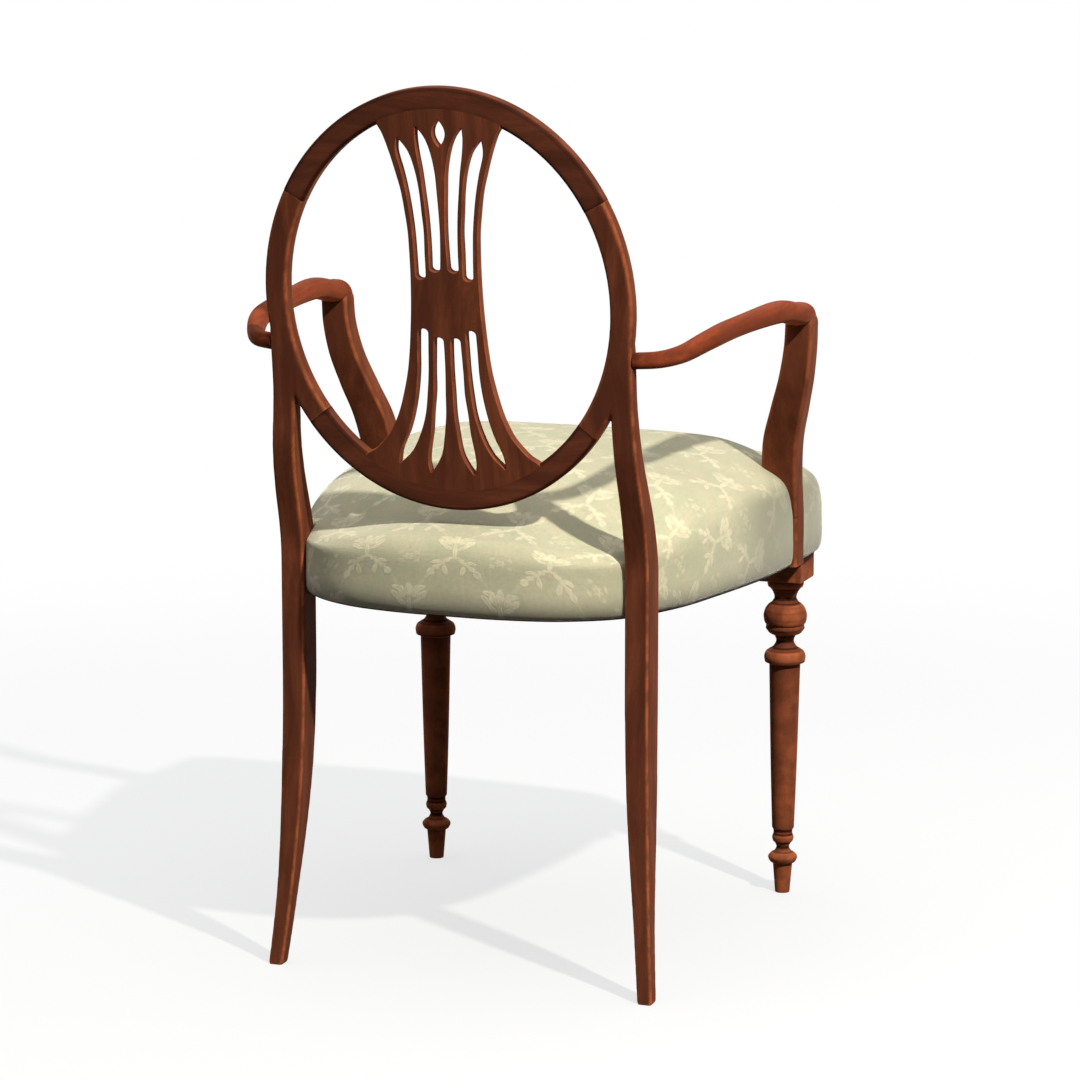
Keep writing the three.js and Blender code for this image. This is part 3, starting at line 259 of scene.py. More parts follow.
COLOUR, NUMBER, PLACE = "NodeSocketColor", "NodeSocketFloat", "NodeSocketVector"


def group(name, takes, gives):
    """A new node group: takes and gives are lists of (name, socket type, value)."""
    tree = bpy.data.node_groups.new(name, "ShaderNodeTree")
    for way, sockets in (("INPUT", takes), ("OUTPUT", gives)):
        for label, kind, value in sockets:
            socket = tree.interface.new_socket(name=label, in_out=way, socket_type=kind)
            if value is not None:
                socket.default_value = value
    return tree, tree.nodes.new("NodeGroupInput"), tree.nodes.new("NodeGroupOutput")


def wood_group(name):
    """Wood with its grain along z. Broad figure is noise drawn out twelve times along the
    grain, fine lines are drawn out forty times, and pores are short dark dashes. Edges and
    rounds that stand out go to a lighter colour in patches, partly real wear and partly painted
    highlight where light catches them, and corners hold dark wax."""
    tree, given, out = group(name, [
        ("Place", PLACE, None), ("Standing Out", NUMBER, 0.0), ("Deep", COLOUR, None), ("Middle", COLOUR, None),
        ("Light", COLOUR, None), ("Worn And Lit", COLOUR, None), ("Gloss", NUMBER, 0.3), ("Pore Share", NUMBER, 0.5),
    ], [("Colour", COLOUR, None), ("Roughness", NUMBER, None), ("Height", NUMBER, None)])
    place, standing_out, deep, middle, light, worn_and_lit, gloss, pore_share = given.outputs[:8]
    shifted = wandering(tree, place, 5.0, 1.0, (0.05, 0.05, 0.05))
    figure = speckle(tree, stretch(tree, shifted, (1, 1, 0.08)), 0.016, 4.0, 0.6)
    lines = speckle(tree, stretch(tree, shifted, (1, 1, 0.025)), 0.0016, 2.0, 0.6)
    dashes = speckle(tree, stretch(tree, shifted, (1, 1, 0.09)), 0.00055, 1.0, 0.5)
    cloud = speckle(tree, place, 0.09, 2.0, 0.5)
    wood = blend(tree, between(tree, figure, 0.3, 0.62), deep, middle)
    wood = blend(tree, between(tree, figure, 0.52, 0.78), wood, light)
    wood = blend(tree, between(tree, lines, 0.35, 0.65, 0.0, 0.3), wood, deep)
    pores = reckon(tree, "MULTIPLY", between(tree, dashes, 0.6, 0.72), pore_share)
    wood = blend(tree, pores, wood, deep)
    wood = blend(tree, between(tree, cloud, 0.4, 0.7, 0.0, 0.35), wood, deep)
    patches = between(tree, speckle(tree, place, 0.02, 3.0, 0.6), 0.35, 0.65, 0.25, 0.8)
    # Wear and painted highlight: edges and rounds that stand out take the lighter colour in patches.
    wood = blend(tree, reckon(tree, "MULTIPLY", between(tree, standing_out, 0.12, 0.75), patches), wood, worn_and_lit)
    grime = between(tree, standing_out, -0.6, -0.05, 0.75, 0.0)
    wood = blend(tree, grime, wood, (0.012, 0.004, 0.003, 1))
    smear = speckle(tree, place, 0.035, 3.0, 0.6)
    rough = reckon(tree, "ADD", gloss, between(tree, smear, 0.35, 0.7, -0.04, 0.08))
    rough = reckon(tree, "ADD", rough, reckon(tree, "MULTIPLY", grime, 0.2))
    height = reckon(tree, "SUBTRACT", reckon(tree, "MULTIPLY", lines, 0.35), pores)
    height = reckon(tree, "MULTIPLY_ADD", figure, 0.8, height)
    feed(tree, out, {"Colour": wood, "Roughness": rough, "Height": height})
    return tree


def shader(name, **sockets):
    """A new material's tree and its Principled shader, with the given values on its sockets."""
    material = bpy.data.materials.new(name)
    material.use_nodes = True
    tree = material.node_tree
    surface = tree.nodes["Principled BSDF"]
    feed(tree, surface, {label.replace("_", " "): value for label, value in sockets.items()})
    return material, tree, surface


def relief(tree, surface, height, depth, strength):
    bump = node(tree, "ShaderNodeBump", {"Strength": strength, "Distance": depth, "Height": height})
    tree.links.new(bump.outputs[0], surface.inputs["Normal"])


wood_grain = wood_group("wood_grain")


def grained(tree, surface, turn, start, colours, feeds, depth, strength):
    """Gives a shader wood whose grain runs along z once its place is turned by turn."""
    place = {"Vector": object_place(tree), "Location": start, "Rotation": turn}
    place = node(tree, "ShaderNodeMapping", place).outputs[0]
    grain = node(tree, "ShaderNodeGroup", {"Place": place, **colours, **feeds}, node_tree=wood_grain)
    feed(tree, surface, {"Base Color": grain.outputs["Colour"], "Roughness": grain.outputs["Roughness"]})
    relief(tree, surface, grain.outputs["Height"], depth, strength)


# The fourth colour, for edges that stand out, is partly real wear and partly painted highlight.
STAIN = {
    "Deep": (0.092, 0.0270, 0.0150), "Middle": (0.162, 0.0455, 0.0225),
    "Light": (0.215, 0.062, 0.030), "Worn And Lit": (0.430, 0.115, 0.046),
}
BRIGHTEST = 0.55


def mahogany(name, turn, start, lighter=(1.0, 1.0, 1.0)):
    """French-polished mahogany. Its red, green and blue are the stain's times lighter, and
    never above the brightest that wood can be."""
    material, tree, surface = shader(
        name, Specular_IOR_Level=0.012, Specular_Tint=(1.0, 0.55, 0.30, 1),
        Sheen_Weight=0.28, Sheen_Roughness=0.35, Sheen_Tint=(1.0, 0.27, 0.09, 1),
    )
    standing_out = node(tree, "ShaderNodeAttribute", attribute_name="standing_out").outputs["Fac"]
    colours = {label: (*(min(BRIGHTEST, more * v) for more, v in zip(lighter, value)), 1)
               for label, value in STAIN.items()}
    feeds = {"Standing Out": standing_out, "Gloss": 0.48, "Pore Share": 0.45}
    grained(tree, surface, turn, start, colours, feeds, 0.00012, 0.5)
    return material


quarter = math.pi / 2
mahogany_upright = mahogany("mahogany_upright", (0, 0, 0), (0.31, 0.12, 0.4), (1.21, 1.2, 1.12))
mahogany_across = mahogany("mahogany_across", (0, quarter, 0), (0.1, 0.5, 0.2))
# The arms' wood is lighter than the rest, most in red: painted highlight for the light on their rounded tops.
mahogany_forward_painted_highlight = mahogany("mahogany_forward_painted_highlight", (quarter, 0, 0), (0.7, 0.3, 0.1), (2.05, 1.5, 1.15))


def fitted(piece, slot, material, *nodes):
    """Gives a piece its material, fixes it to the chair and lets it stand for its nodes, which are hidden. The slot
    is not used.
    """
    piece.data.materials.clear()
    piece.data.materials.append(material)
    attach(piece, "root")
    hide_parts(*nodes)


for piece, stands_for in ((crest_rail, "crest_rail"), (lower_rail, "lower_back_rail")):
    mark_standing_out(piece)
    fitted(piece, "mahogany", mahogany_across, stands_for)

# Rear legs. Each is one sawn and shaped length of mahogany: a sabre foot, a square post at the
# seat, and above it the side of the oval. Mortises take the arm and the seat rails.
FOOT_SIDE, FOOT_SPLAY, FOOT_SABRE = 0.0165, 0.0168, 0.0273
POST_X, POST_Y, POST_WIDTH, POST_DEPTH, POST_ARRIS = 0.1919, 0.2025, 0.026, 0.035, 0.0025
POST_TOP_X, POST_TOP_WIDTH, POST_TOP = 0.1856, 0.0254, 0.688
SPLAY_TOP, BEND_LOW, BEND_HIGH, LEAN_LOW, LEAN_HIGH = 0.33, 0.44, 0.585, 0.5, 0.64
VOXEL, OVERLAP, CUT_REACH, FLOOR_SNAP = 0.0014, 3.0, 0.022, 0.0006
taper = np.array([[0, 0], [0.18, 0.18], [0.28, 0.42], [0.38, 0.66], [0.5, 0.88], [0.7, 1], [1, 1]])


def ease(value, low, high):
    """0 below low, 1 above high, and 3t^2 - 2t^3 between, where t is the share of the way."""
    t = np.clip((value - low) / (high - low), 0, 1)
    return t * t * (3 - 2 * t)


def mix(first, last, share):
    return first + (last - first) * share


def post_depth(h):
    """Upright to the bend, then a cubic curve back into the oval's leaning plane."""
    plane = OVAL_CENTRE[1] + (h - OVAL_CENTRE[2]) * math.tan(RAKE)
    run = BEND_HIGH - BEND_LOW
    t = np.clip((h - BEND_LOW) / run, 0, 1)
    end = OVAL_CENTRE[1] + (BEND_HIGH - OVAL_CENTRE[2]) * math.tan(RAKE)
    curve = POST_Y + (end - POST_Y) * (3 * t ** 2 - 2 * t ** 3) + run * math.tan(RAKE) * (t ** 3 - t ** 2)
    return np.where(h >= BEND_HIGH, plane, curve)


def softened(places, values, at, reach):
    """Straight lines through the values, averaged over a window of twice the reach."""
    offsets = steps(-reach, reach, 9)
    return np.mean([np.interp(at + offset, places, values) for offset in offsets], 0)


h = steps(0, POST_TOP, 230)
splay = np.maximum(0, 1 - h / SPLAY_TOP) ** 2
lean, thinned = ease(h, LEAN_LOW, LEAN_HIGH), ease(h, BEND_LOW, LEAN_HIGH)
grown = softened(taper[:, 0], taper[:, 1], h / BEND_LOW, 0.05) * ease(h / BEND_LOW, -0.02, 0.03)
post_x = (POST_X + splay * FOOT_SPLAY) * (1 - lean) + POST_TOP_X * lean
post_wide = mix(mix(FOOT_SIDE, POST_WIDTH, grown), POST_TOP_WIDTH, lean)
post_deep = mix(mix(FOOT_SIDE, POST_DEPTH, grown), RING_THICKNESS, thinned)
post_centres = np.stack([post_x, post_depth(h) + splay * FOOT_SABRE, h], -1)
post_arris = mix(POST_ARRIS, RING_ROUND, thinned)
X, Y, Z = np.eye(3)
post = skin("post", carried(post_centres, X, Y, rounded(post_wide, post_deep, post_arris)))
side = skin("side", in_back(ring(LOWER_JOINT - OVERLAP, CREST_JOINT + OVERLAP, 90)))


def joined(name, pieces):
    """One piece out of several, as loose shells."""
    whole = bmesh.new()
    for piece in pieces:
        whole.from_mesh(piece.data)
        bpy.data.objects.remove(piece)
    mesh = bpy.data.meshes.new(name)
    whole.to_mesh(mesh)
    whole.free()
    return placed(name, mesh)


def evaluated(piece):
    return bpy.data.meshes.new_from_object(piece.evaluated_get(bpy.context.evaluated_depsgraph_get()))


def changed(piece, kind, **settings):
    """Adds a modifier to a piece."""
    return settled(piece.modifiers.new(kind.lower(), kind), **settings)


def applied(piece):
    """Bakes the modifiers into the mesh."""
    shape = evaluated(piece)
    piece.modifiers.clear()
    old, piece.data = piece.data, shape
    shape.name = piece.name
    shape.validate()
    bpy.data.meshes.remove(old)
    return piece


def mirrored(name, piece):
    """The same piece on the sitter's right: x turns to -x and each face is run the other way."""
    other = piece.copy()
    other.data = piece.data.copy()
    other.name = other.data.name = name
    bpy.context.scene.collection.objects.link(other)
    mesh = bmesh.new()
    mesh.from_mesh(other.data)
    bmesh.ops.scale(mesh, vec=(-1, 1, 1), verts=mesh.verts)
    bmesh.ops.reverse_faces(mesh, faces=mesh.faces)
    mesh.to_mesh(other.data)
    mesh.free()
    return other


def fitted_pair(piece, material, name, reach=0.004):
    """Fits a mahogany piece on the sitter's left, and its mirror image on the right."""
    mark_standing_out(piece, reach)
    fitted(piece, "mahogany", material, f"{name}_left")
    fitted(mirrored(f"{name}_right_polished", piece), "mahogany", material, f"{name}_right")


rear_leg = joined("rear_leg_left_polished", [post, side])
changed(rear_leg, "REMESH", mode="VOXEL", voxel_size=VOXEL, use_smooth_shade=True)
changed(rear_leg, "SMOOTH", factor=0.5, iterations=6)
applied(rear_leg)
cut = bmesh.new()
cut.from_mesh(rear_leg.data)
for angle, way in ((LOWER_JOINT, -1), (CREST_JOINT, 1)):
    middle, along = ring_joint(angle)
    middle = Vector(middle - way * along * JOINT_LINE)
    near = [f for f in cut.faces if (f.calc_center_median() - middle).length < CUT_REACH]
    near += list({e for f in near for e in f.edges}) + list({v for f in near for v in f.verts})
    bmesh.ops.bisect_plane(cut, geom=near, dist=1e-7, plane_co=middle, plane_no=Vector(along * way),
                           clear_outer=True)
    bmesh.ops.edgeloop_fill(cut, edges=[e for e in cut.edges if e.is_boundary])
for v in cut.verts:
    if v.co.z < FLOOR_SNAP:
        v.co.z = 0.0
cut.to_mesh(rear_leg.data)
cut.free()
smoothed(rear_leg.data, 50)
fitted_pair(rear_leg, mahogany_upright, "rear_leg")

# Splat. One pierced mahogany board in the middle of the oval, with four long slots over and
# four under a plain tablet and a lens-shaped hole at its head. It is held in grooves in the
# rails and planed flush with them behind, so that ring and splat read as one flat plate.
SPLAT_THICKNESS, WAIST, OPENING = 0.010, 0.0376, OVAL_HALF_HEIGHT - RING_FACE
SPLAT_ARRIS, LET_IN = 0.0011, 0.0062
SPLAT_PLANE = (SPLAT_THICKNESS - RING_THICKNESS) / 2 + JOINT_LINE
SLOT_END, SLOT_EASE = 0.0042, 0.0002
LENS_AT, LENS_LONG, LENS_SIDE = 0.1735, 0.027, 0.0066
# Rows of the splat's edge: height in half openings, half width in half waists.
splat_edge = np.array([
    [-0.862, 2.62], [-0.84, 2.5], [-0.81, 2.24], [-0.76, 1.98], [-0.705, 1.755], [-0.6, 1.5],
    [-0.49, 1.33], [-0.38, 1.2], [-0.27, 1.12], [-0.165, 1.07], [-0.06, 1.03], [0.05, 1.005],
    [0.155, 0.995], [0.26, 1], [0.37, 1.02], [0.47, 1.08], [0.58, 1.165], [0.68, 1.3],
    [0.785, 1.46], [0.88, 1.64], [0.93, 1.79],
])
# Rows of each slot: height in half openings, middle and half width in half waists.
slot_tables = [np.array(t) for t in (
    [[0.118, 0.69, 0.13], [0.155, 0.69, 0.135], [0.26, 0.7, 0.14], [0.37, 0.712, 0.155], [0.47, 0.757, 0.16],
     [0.58, 0.82, 0.178], [0.68, 0.915, 0.188], [0.785, 1.07, 0.17], [0.86, 1.205, 0.01]],
    [[0.16, 0.27, 0.14], [0.26, 0.255, 0.15], [0.37, 0.254, 0.163], [0.47, 0.275, 0.171], [0.58, 0.318, 0.185],
     [0.68, 0.362, 0.195], [0.785, 0.455, 0.185], [0.86, 0.545, 0.13], [0.919, 0.65, 0.01]],
    [[-0.148, 0.69, 0.12], [-0.165, 0.694, 0.135], [-0.27, 0.717, 0.142], [-0.38, 0.74, 0.142], [-0.49, 0.8, 0.15],
     [-0.6, 0.896, 0.17], [-0.705, 1.06, 0.172], [-0.81, 1.32, 0.16], [-0.882, 1.54, 0.01]],
    [[-0.192, 0.245, 0.125], [-0.27, 0.249, 0.142], [-0.38, 0.263, 0.157], [-0.49, 0.28, 0.157], [-0.6, 0.323, 0.187],
     [-0.705, 0.38, 0.185], [-0.81, 0.475, 0.187], [-0.87, 0.56, 0.13], [-0.923, 0.635, 0.01]],
)]


def through(rows, shares, closed=False):
    """Smooth curve through rows of numbers at shares from 0 to 1: on each stretch a cubic whose
    end slopes come from the centripetal spacing (square roots of the distances) of four rows."""
    rows = np.asarray(rows, float)
    count = len(rows) if closed else len(rows) - 1
    if closed:
        padded = np.concatenate([rows[-1:], rows, rows[:2]])
    else:
        padded = np.concatenate([2 * rows[:1] - rows[1:2], rows, 2 * rows[-1:] - rows[-2:-1]])
    place = np.clip(np.asarray(shares, float), 0, 1) * count
    i = np.minimum(place.astype(int), count - 1)
    t = (place - i)[..., None]
    a, b, c, d = (padded[i + n] for n in range(4))
    u, v, w = (np.maximum(np.linalg.norm(q - p, axis=-1, keepdims=True), 1e-12) ** 0.5
               for p, q in ((a, b), (b, c), (c, d)))
    start = v * ((b - a) / u - (c - a) / (u + v) + (c - b) / v)
    end = v * ((c - b) / v - (d - b) / (v + w) + (d - c) / w)
    return b + start * t + (3 * (c - b) - 2 * start - end) * t ** 2 + (2 * (b - c) + start + end) * t ** 3


def outline_curve(plan, points):
    """Adds a closed flat outline to a filled curve."""
    line = plan.splines.new("POLY")
    line.points.add(len(points) - 1)
    line.points.foreach_set("co", np.insert(points, 2, [[0.0], [1.0]], 1).ravel())
    line.use_cyclic_u = True


board = settled(
    bpy.data.curves.new("splat", "CURVE"), dimensions="2D", fill_mode="BOTH", bevel_resolution=2,
    extrude=SPLAT_THICKNESS / 2 - SPLAT_ARRIS, bevel_depth=SPLAT_ARRIS, offset=-SPLAT_ARRIS,
)
edge = through(splat_edge, steps(0, 1, 260))[:, ::-1] * [WAIST, OPENING]
ends = np.radians(steps(0, 360, 2881)[:-1])
wide, tall = OVAL_HALF_WIDTH - RING_FACE + LET_IN, OPENING + LET_IN
oval = np.stack([wide * np.cos(ends), tall * np.sin(ends)], -1)
edge = np.concatenate([[[edge[0, 0], -tall]], edge, [[edge[-1, 0], tall]]])
level = steps(-tall, tall, 1200)
kept = np.stack([np.interp(level, edge[:, 1], edge[:, 0]), level], -1)
kept = kept[(kept[:, 0] / wide) ** 2 + (kept[:, 1] / tall) ** 2 < 1]
head = oval[(oval[:, 1] > kept[-1, 1]) & (np.abs(oval[:, 0]) < kept[-1, 0])]
heel = oval[(oval[:, 1] < kept[0, 1]) & (np.abs(oval[:, 0]) < kept[0, 0])]
outline_curve(board, np.concatenate([kept, head, kept[::-1] * [-1, 1], heel]))
for table in slot_tables:
    rows = through(table, steps(0, 1, 110) ** 1.7)
    height = rows[:, 0] * OPENING
    half = rows[:, 2] * WAIST
    from_end = np.clip(np.abs(height - height[0]) / SLOT_END, 0, 1)
    half = half * np.sqrt(1 - (1 - from_end) ** 2) + SLOT_EASE
    inner, outer = (np.stack([rows[:, 1] * WAIST + way * half, height], -1) for way in (-1, 1))
    loop = np.concatenate([inner, outer[::-1]])
    outline_curve(board, loop)
    outline_curve(board, loop * [-1, 1])
t = steps(0, 1, 40)[:-1]
bow, along = 4 * LENS_SIDE * t * (1 - t), LENS_AT + LENS_LONG * (t - 0.5)
outline_curve(board, np.concatenate([np.stack([bow, along], -1), np.stack([-bow, 2 * LENS_AT - along], -1)]))
pattern = placed("splat_pattern", board)
bpy.context.view_layer.update()
shape = evaluated(pattern)
bpy.data.objects.remove(pattern)
shape.vertices.foreach_set("co", in_back(triples(shape.vertices, "co") + [0, 0, SPLAT_PLANE]).ravel())
shape.update()
shape.name = "splat_polished"
splat = placed("splat_polished", shape)
smoothed(shape, 32)
mark_standing_out(splat, 0.0015)
fitted(splat, "mahogany", mahogany_upright, "splat")

# Arms. Mahogany, sawn to a double curve and rounded with a spokeshave: from the post they dip,
# sweep out and rise over the support, where the top falls in a quarter round to the support's
# front. Each is tenoned into its rear leg.
ARM_LOW, ARM_RISE, ARM_SEAT = 0.6655, 0.018, 0.67162
ARM_INNER, ARM_OUTER, ARM_REAR, ARM_FRONT = 0.1986, 0.2697, 0.247, -0.103
ARM_ROOT, ARM_WIDE, ARM_THICK, HAND_WIDE, HAND_THICK = 0.017, 0.023, 0.020, 0.031, 0.0245
TIP, TIP_NARROWS, TIP_THINS, ARM_SQUARENESS = 0.06, 0.4, 0.96, 2.35
SUPPORT_TOP, HEAD_SEAT = np.array([0.27, -0.089]), np.array([0.0163, 0.0138])
# Shares of the way out and forward, and of the rise.
arm_path = np.array([
    [0, 0, 0], [0.3, 0.04, 0.02], [0.52, 0.115, 0.17], [0.7, 0.225, 0.6], [0.79, 0.39, 0.85],
    [0.9, 0.6, 0.95], [0.975, 0.77, 0.84], [1, 0.9, 0.36], [1, 1, 0.3],
])
arm_path = np.stack([
    mix(ARM_INNER, ARM_OUTER, arm_path[:, 0]), mix(ARM_REAR, ARM_FRONT, arm_path[:, 1]),
    ARM_LOW + ARM_RISE * arm_path[:, 2],
], -1)


def run_along(points):
    """How far along a line of points each of them is: the sum of the steps to it."""
    return np.concatenate([[0], np.cumsum(np.linalg.norm(np.diff(points, axis=0), axis=1))])


fine = through(arm_path, steps(0, 1, 2000))
run = run_along(fine)
s = np.concatenate([steps(0, 1 - TIP, 130), 1 - TIP + TIP * np.sin(steps(0, quarter, 22)[1:])])
low_line = np.stack([np.interp(s * run[-1], run, fine[:, n]) for n in range(3)], -1)
ahead = np.gradient(low_line, s, axis=0)
ahead[0] = X
ahead /= np.linalg.norm(ahead, axis=1, keepdims=True)
across = np.cross(ahead, Z)
across /= np.linalg.norm(across, axis=1, keepdims=True)
upward = np.cross(across, ahead)
swell, widen = ease(s, 0, 0.4), ease(s, 0.45, 0.9)
into = np.clip(1 - (1 - s) / TIP, 0, 1)
arm_wide, arm_thick = (
    (mix(ARM_ROOT, middle, swell) * (1 - widen) + hand * widen) * np.sqrt(1 - less * into ** 2)
    for middle, hand, less in ((ARM_WIDE, HAND_WIDE, TIP_NARROWS), (ARM_THICK, HAND_THICK, TIP_THINS))
)
a = np.radians(steps(0, 360, 45)[:-1])
egg = np.stack([np.sign(f) * np.abs(f) ** (2 / ARM_SQUARENESS) for f in (np.cos(a), np.sin(a))], -1)
outlines = egg * np.stack([arm_wide, arm_thick], -1)[:, None] / 2
rows = carried(low_line + upward * arm_thick[:, None] / 2, across, upward, outlines)
over_support = (np.abs(rows[..., :2] - SUPPORT_TOP) < HEAD_SEAT).all(-1)
rows[..., 2] = np.where(over_support, np.maximum(rows[..., 2], ARM_SEAT + 0.0001), rows[..., 2])
fitted_pair(skin("arm_left_polished", rows), mahogany_forward_painted_highlight, "arm")

# Arm supports. Mahogany uprights, sawn to a serpentine and eased at the edges. The foot is
# halved over the side rail and screwed from inside it, and the head is tenoned into the arm.
RAIL_TOP, CHEEK_INNER, CHEEK_FOOT, TENON = 0.4503, 0.2383, 0.3963, 0.0085
SUPPORT_FOOT, CURVE_FOOT, SUPPORT_ARRIS, HEAD_TAPER = np.array([0.2346, -0.145]), 0.45, 0.004, 0.13
FOOT_WIDE, FOOT_DEEP, HEAD_WIDE, HEAD_DEEP = 0.0394, 0.030, 0.031, 0.026
# Shares of the way up, out and back.
support_path = np.array([
    [-0.3, 0, 0], [0, 0, 0], [0.07, 0.005, 0.05], [0.2, 0.03, 0.18], [0.39, 0.17, 0.42],
    [0.57, 0.5, 0.68], [0.75, 0.82, 0.89], [0.9, 0.97, 0.98], [1, 1, 1],
])
curve = through(support_path, steps(0, 1, 1200))
heights = mix(CURVE_FOOT, ARM_SEAT, curve[:, 0])
support_middle = mix(SUPPORT_FOOT, SUPPORT_TOP, curve[:, 1:])


def support_rows(h, swelling=0.0):
    """Sections of the support at heights, wider all round by a swelling: the middle runs out
    and back with the height, and the section narrows over the upper two thirds."""
    slim = ease(np.interp(h, heights, curve[:, 0]), 0.35, 1)
    centres = np.stack([*(np.interp(h, heights, middle) for middle in support_middle.T), h], -1)
    wide, deep = mix(FOOT_WIDE, HEAD_WIDE, slim), mix(FOOT_DEEP, HEAD_DEEP, slim)
    outlines = rounded(wide + 2 * swelling, deep + 2 * swelling, SUPPORT_ARRIS + swelling)
    return carried(centres, X, Y, outlines)


cheek = support_rows(steps(CHEEK_FOOT, RAIL_TOP, 20))
cheek[..., 0] = np.maximum(cheek[..., 0], CHEEK_INNER)
head = support_rows(steps(ARM_SEAT, ARM_SEAT + TENON, 8)[1:])
middle = head.mean(1, keepdims=True)
head = middle + (head - middle) * (X + Y) * (1 - HEAD_TAPER * steps(0, 1, 8)[1:, None, None] ** 2)
rows = np.concatenate([cheek, support_rows(steps(RAIL_TOP, ARM_SEAT, 90)), head])
fitted_pair(skin("arm_support_left_polished", rows), mahogany_upright, "arm_support")

# Front legs. Turned from mahogany on the lathe, with a bulb, rings and a tapering shaft over a
# small flared foot, and left square at the top where the seat rails are tenoned in.
FRONT_X, FRONT_Y, TURNED, WIDEST, BLOCK, CHAMFER = 0.2115, -0.23, 0.362, 0.0244, 0.051, 0.0012
BLOCK_TOP, BLOCK_ARRIS, AROUND = 0.45, 0.0015, 72
# Height as a share of the turned length, radius as a share of the widest.
turning = np.array([
    [0, 0.338], [0.094, 0.45], [0.1, 0.6], [0.113, 0.676], [0.124, 0.58], [0.131, 0.4], [0.146, 0.293],
    [0.158, 0.36], [0.168, 0.475], [0.178, 0.497], [0.19, 0.44], [0.197, 0.435], [0.209, 0.51],
    [0.4, 0.6], [0.733, 0.715], [0.739, 0.92], [0.754, 0.955], [0.767, 0.91], [0.778, 0.74],
    [0.788, 0.53], [0.806, 0.406], [0.82, 0.475], [0.831, 0.74], [0.845, 0.895], [0.856, 0.87],
    [0.87, 0.975], [0.885, 1], [0.903, 0.94], [0.918, 0.8], [0.929, 0.61], [0.943, 0.506],
    [0.957, 0.56], [0.972, 0.7], [0.984, 0.83], [1, 0.845],
])
creases = [0, 1, 5, 12, 14, 15, 18, 23, 24, 34]
profile = np.concatenate([through(turning[a:b + 1], steps(0, 1, 6 * (b - a) + 1))
                          for a, b in zip(creases, creases[1:])])
angles = np.radians(steps(0, 360, AROUND + 1)[:-1])
circle = np.stack([np.cos(angles), np.sin(angles)], -1)
square = rounded(BLOCK, BLOCK, BLOCK_ARRIS, arc=2, flat=15)[0]
square = np.roll(square, len(square) // 8, axis=0)
lathe = circle * (profile[:, 1] * WIDEST)[:, None, None]
lathe = np.concatenate([lathe, np.broadcast_to(profile[:, :1, None] * TURNED, lathe.shape[:2] + (1,))], -1)
turn, far = np.arctan2(square[:, 1], square[:, 0]) % (2 * math.pi), np.hypot(*square.T)
turn, far = turn[np.argsort(turn)], far[np.argsort(turn)]
reach = np.interp(angles, np.append(turn, 2 * math.pi + turn[0]), np.append(far, far[0]))
block = []
for height, shrink in ((TURNED, CHAMFER), (TURNED + CHAMFER, 0), (TURNED + 0.03, 0), (BLOCK_TOP, 0)):
    flat = np.clip(circle * reach[:, None], -BLOCK / 2 + shrink, BLOCK / 2 - shrink)
    block.append(np.concatenate([flat, np.full((AROUND, 1), height)], 1))
leg_rows = np.concatenate([lathe, np.array(block)]) + [FRONT_X, FRONT_Y, 0]
# The front legs' wider reach spreads the lighter edge colour over the bulb and beads: painted highlight on the turned
# rounds, besides wear.
fitted_pair(skin("front_leg_left_polished", leg_rows, 42), mahogany_upright, "front_leg", 0.014)

# Seat rails, corner braces and screws. Beech, sawn and left unpolished inside the upholstery;
# the braces are screwed across the corners with countersunk steel screws.
beech, tree, surface = shader("beech", Specular_IOR_Level=0.3)
grained(tree, surface, (0, quarter, 0), (0, 0, 0), {
    "Deep": (0.30, 0.17, 0.080, 1), "Middle": (0.45, 0.28, 0.145, 1),
    "Light": (0.56, 0.38, 0.21, 1), "Worn And Lit": (0.5, 0.33, 0.18, 1),
}, {"Gloss": 0.62, "Pore Share": 0.3}, 0.0002, 0.6)
steel, tree, surface = shader("steel", Metallic=1.0)
scratch = speckle(tree, object_place(tree), 0.0006, 3.0)
feed(tree, surface, {
    "Base Color": blend(tree, scratch, (0.30, 0.30, 0.31, 1), (0.52, 0.52, 0.53, 1)),
    "Roughness": between(tree, scratch, 0.3, 0.7, 0.28, 0.5),
})
for name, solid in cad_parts.items():
    finish = steel if "screw" in name else beech if "brace" in name or "_rail" in name else None
    if finish and not solid.hide_render:
        solid.data.materials.clear()
        solid.data.materials.append(finish)

# Seat foundation. Woven jute webs are strained over the rails and under each other, with
# hessian tacked over them, and a pad of hair and wadding shaped to the crowned seat.
SEAT_HALF, SEAT_BACK, SEAT_FRONT, HUB = 0.25, 0.272, 0.2834, np.array([0.0, -0.01])
REAR_CORNER, FRONT_CORNER = [0.187, 0.198], [0.241, -0.262]
CROWN, COVER, SEAT_RISE, LEVEL_RUN, SHEET_GRID = 0.533, 0.0016, 0.14, 0.105, 61
# Half the seat's outline: shares of its half width, and of its depth behind or before y = 0.
plan_half = np.array([
    [0, 1], [0.22, 0.993], [0.424, 0.957], [0.552, 0.905], [0.676, 0.823], [0.75, 0.735],
    [0.812, 0.607], [0.872, 0.45], [0.928, 0.19], [0.975, -0.09], [0.998, -0.3], [1, -0.6],
    [0.997, -0.8], [0.97, -0.92], [0.91, -0.952], [0.76, -0.968], [0.42, -0.99], [0, -1],
])
plan_half[:, 1] *= np.where(plan_half[:, 1] > 0, SEAT_BACK, SEAT_FRONT)
plan_half[:, 0] *= SEAT_HALF
plan_line = np.concatenate([plan_half, plan_half[1:-1][::-1] * [-1, 1]])
plan_line = through(plan_line, steps(0, 1, 4001)[:-1], closed=True)
plan_run = run_along(np.concatenate([plan_line, plan_line[:1]]))


def plan_at(distance):
    """Places on the seat's outline at distances along it, clockwise from the back's middle."""
    distance = distance % plan_run[-1]
    closed = np.concatenate([plan_line, plan_line[:1]])
    return np.stack([np.interp(distance, plan_run, closed[:, n]) for n in (0, 1)], -1)


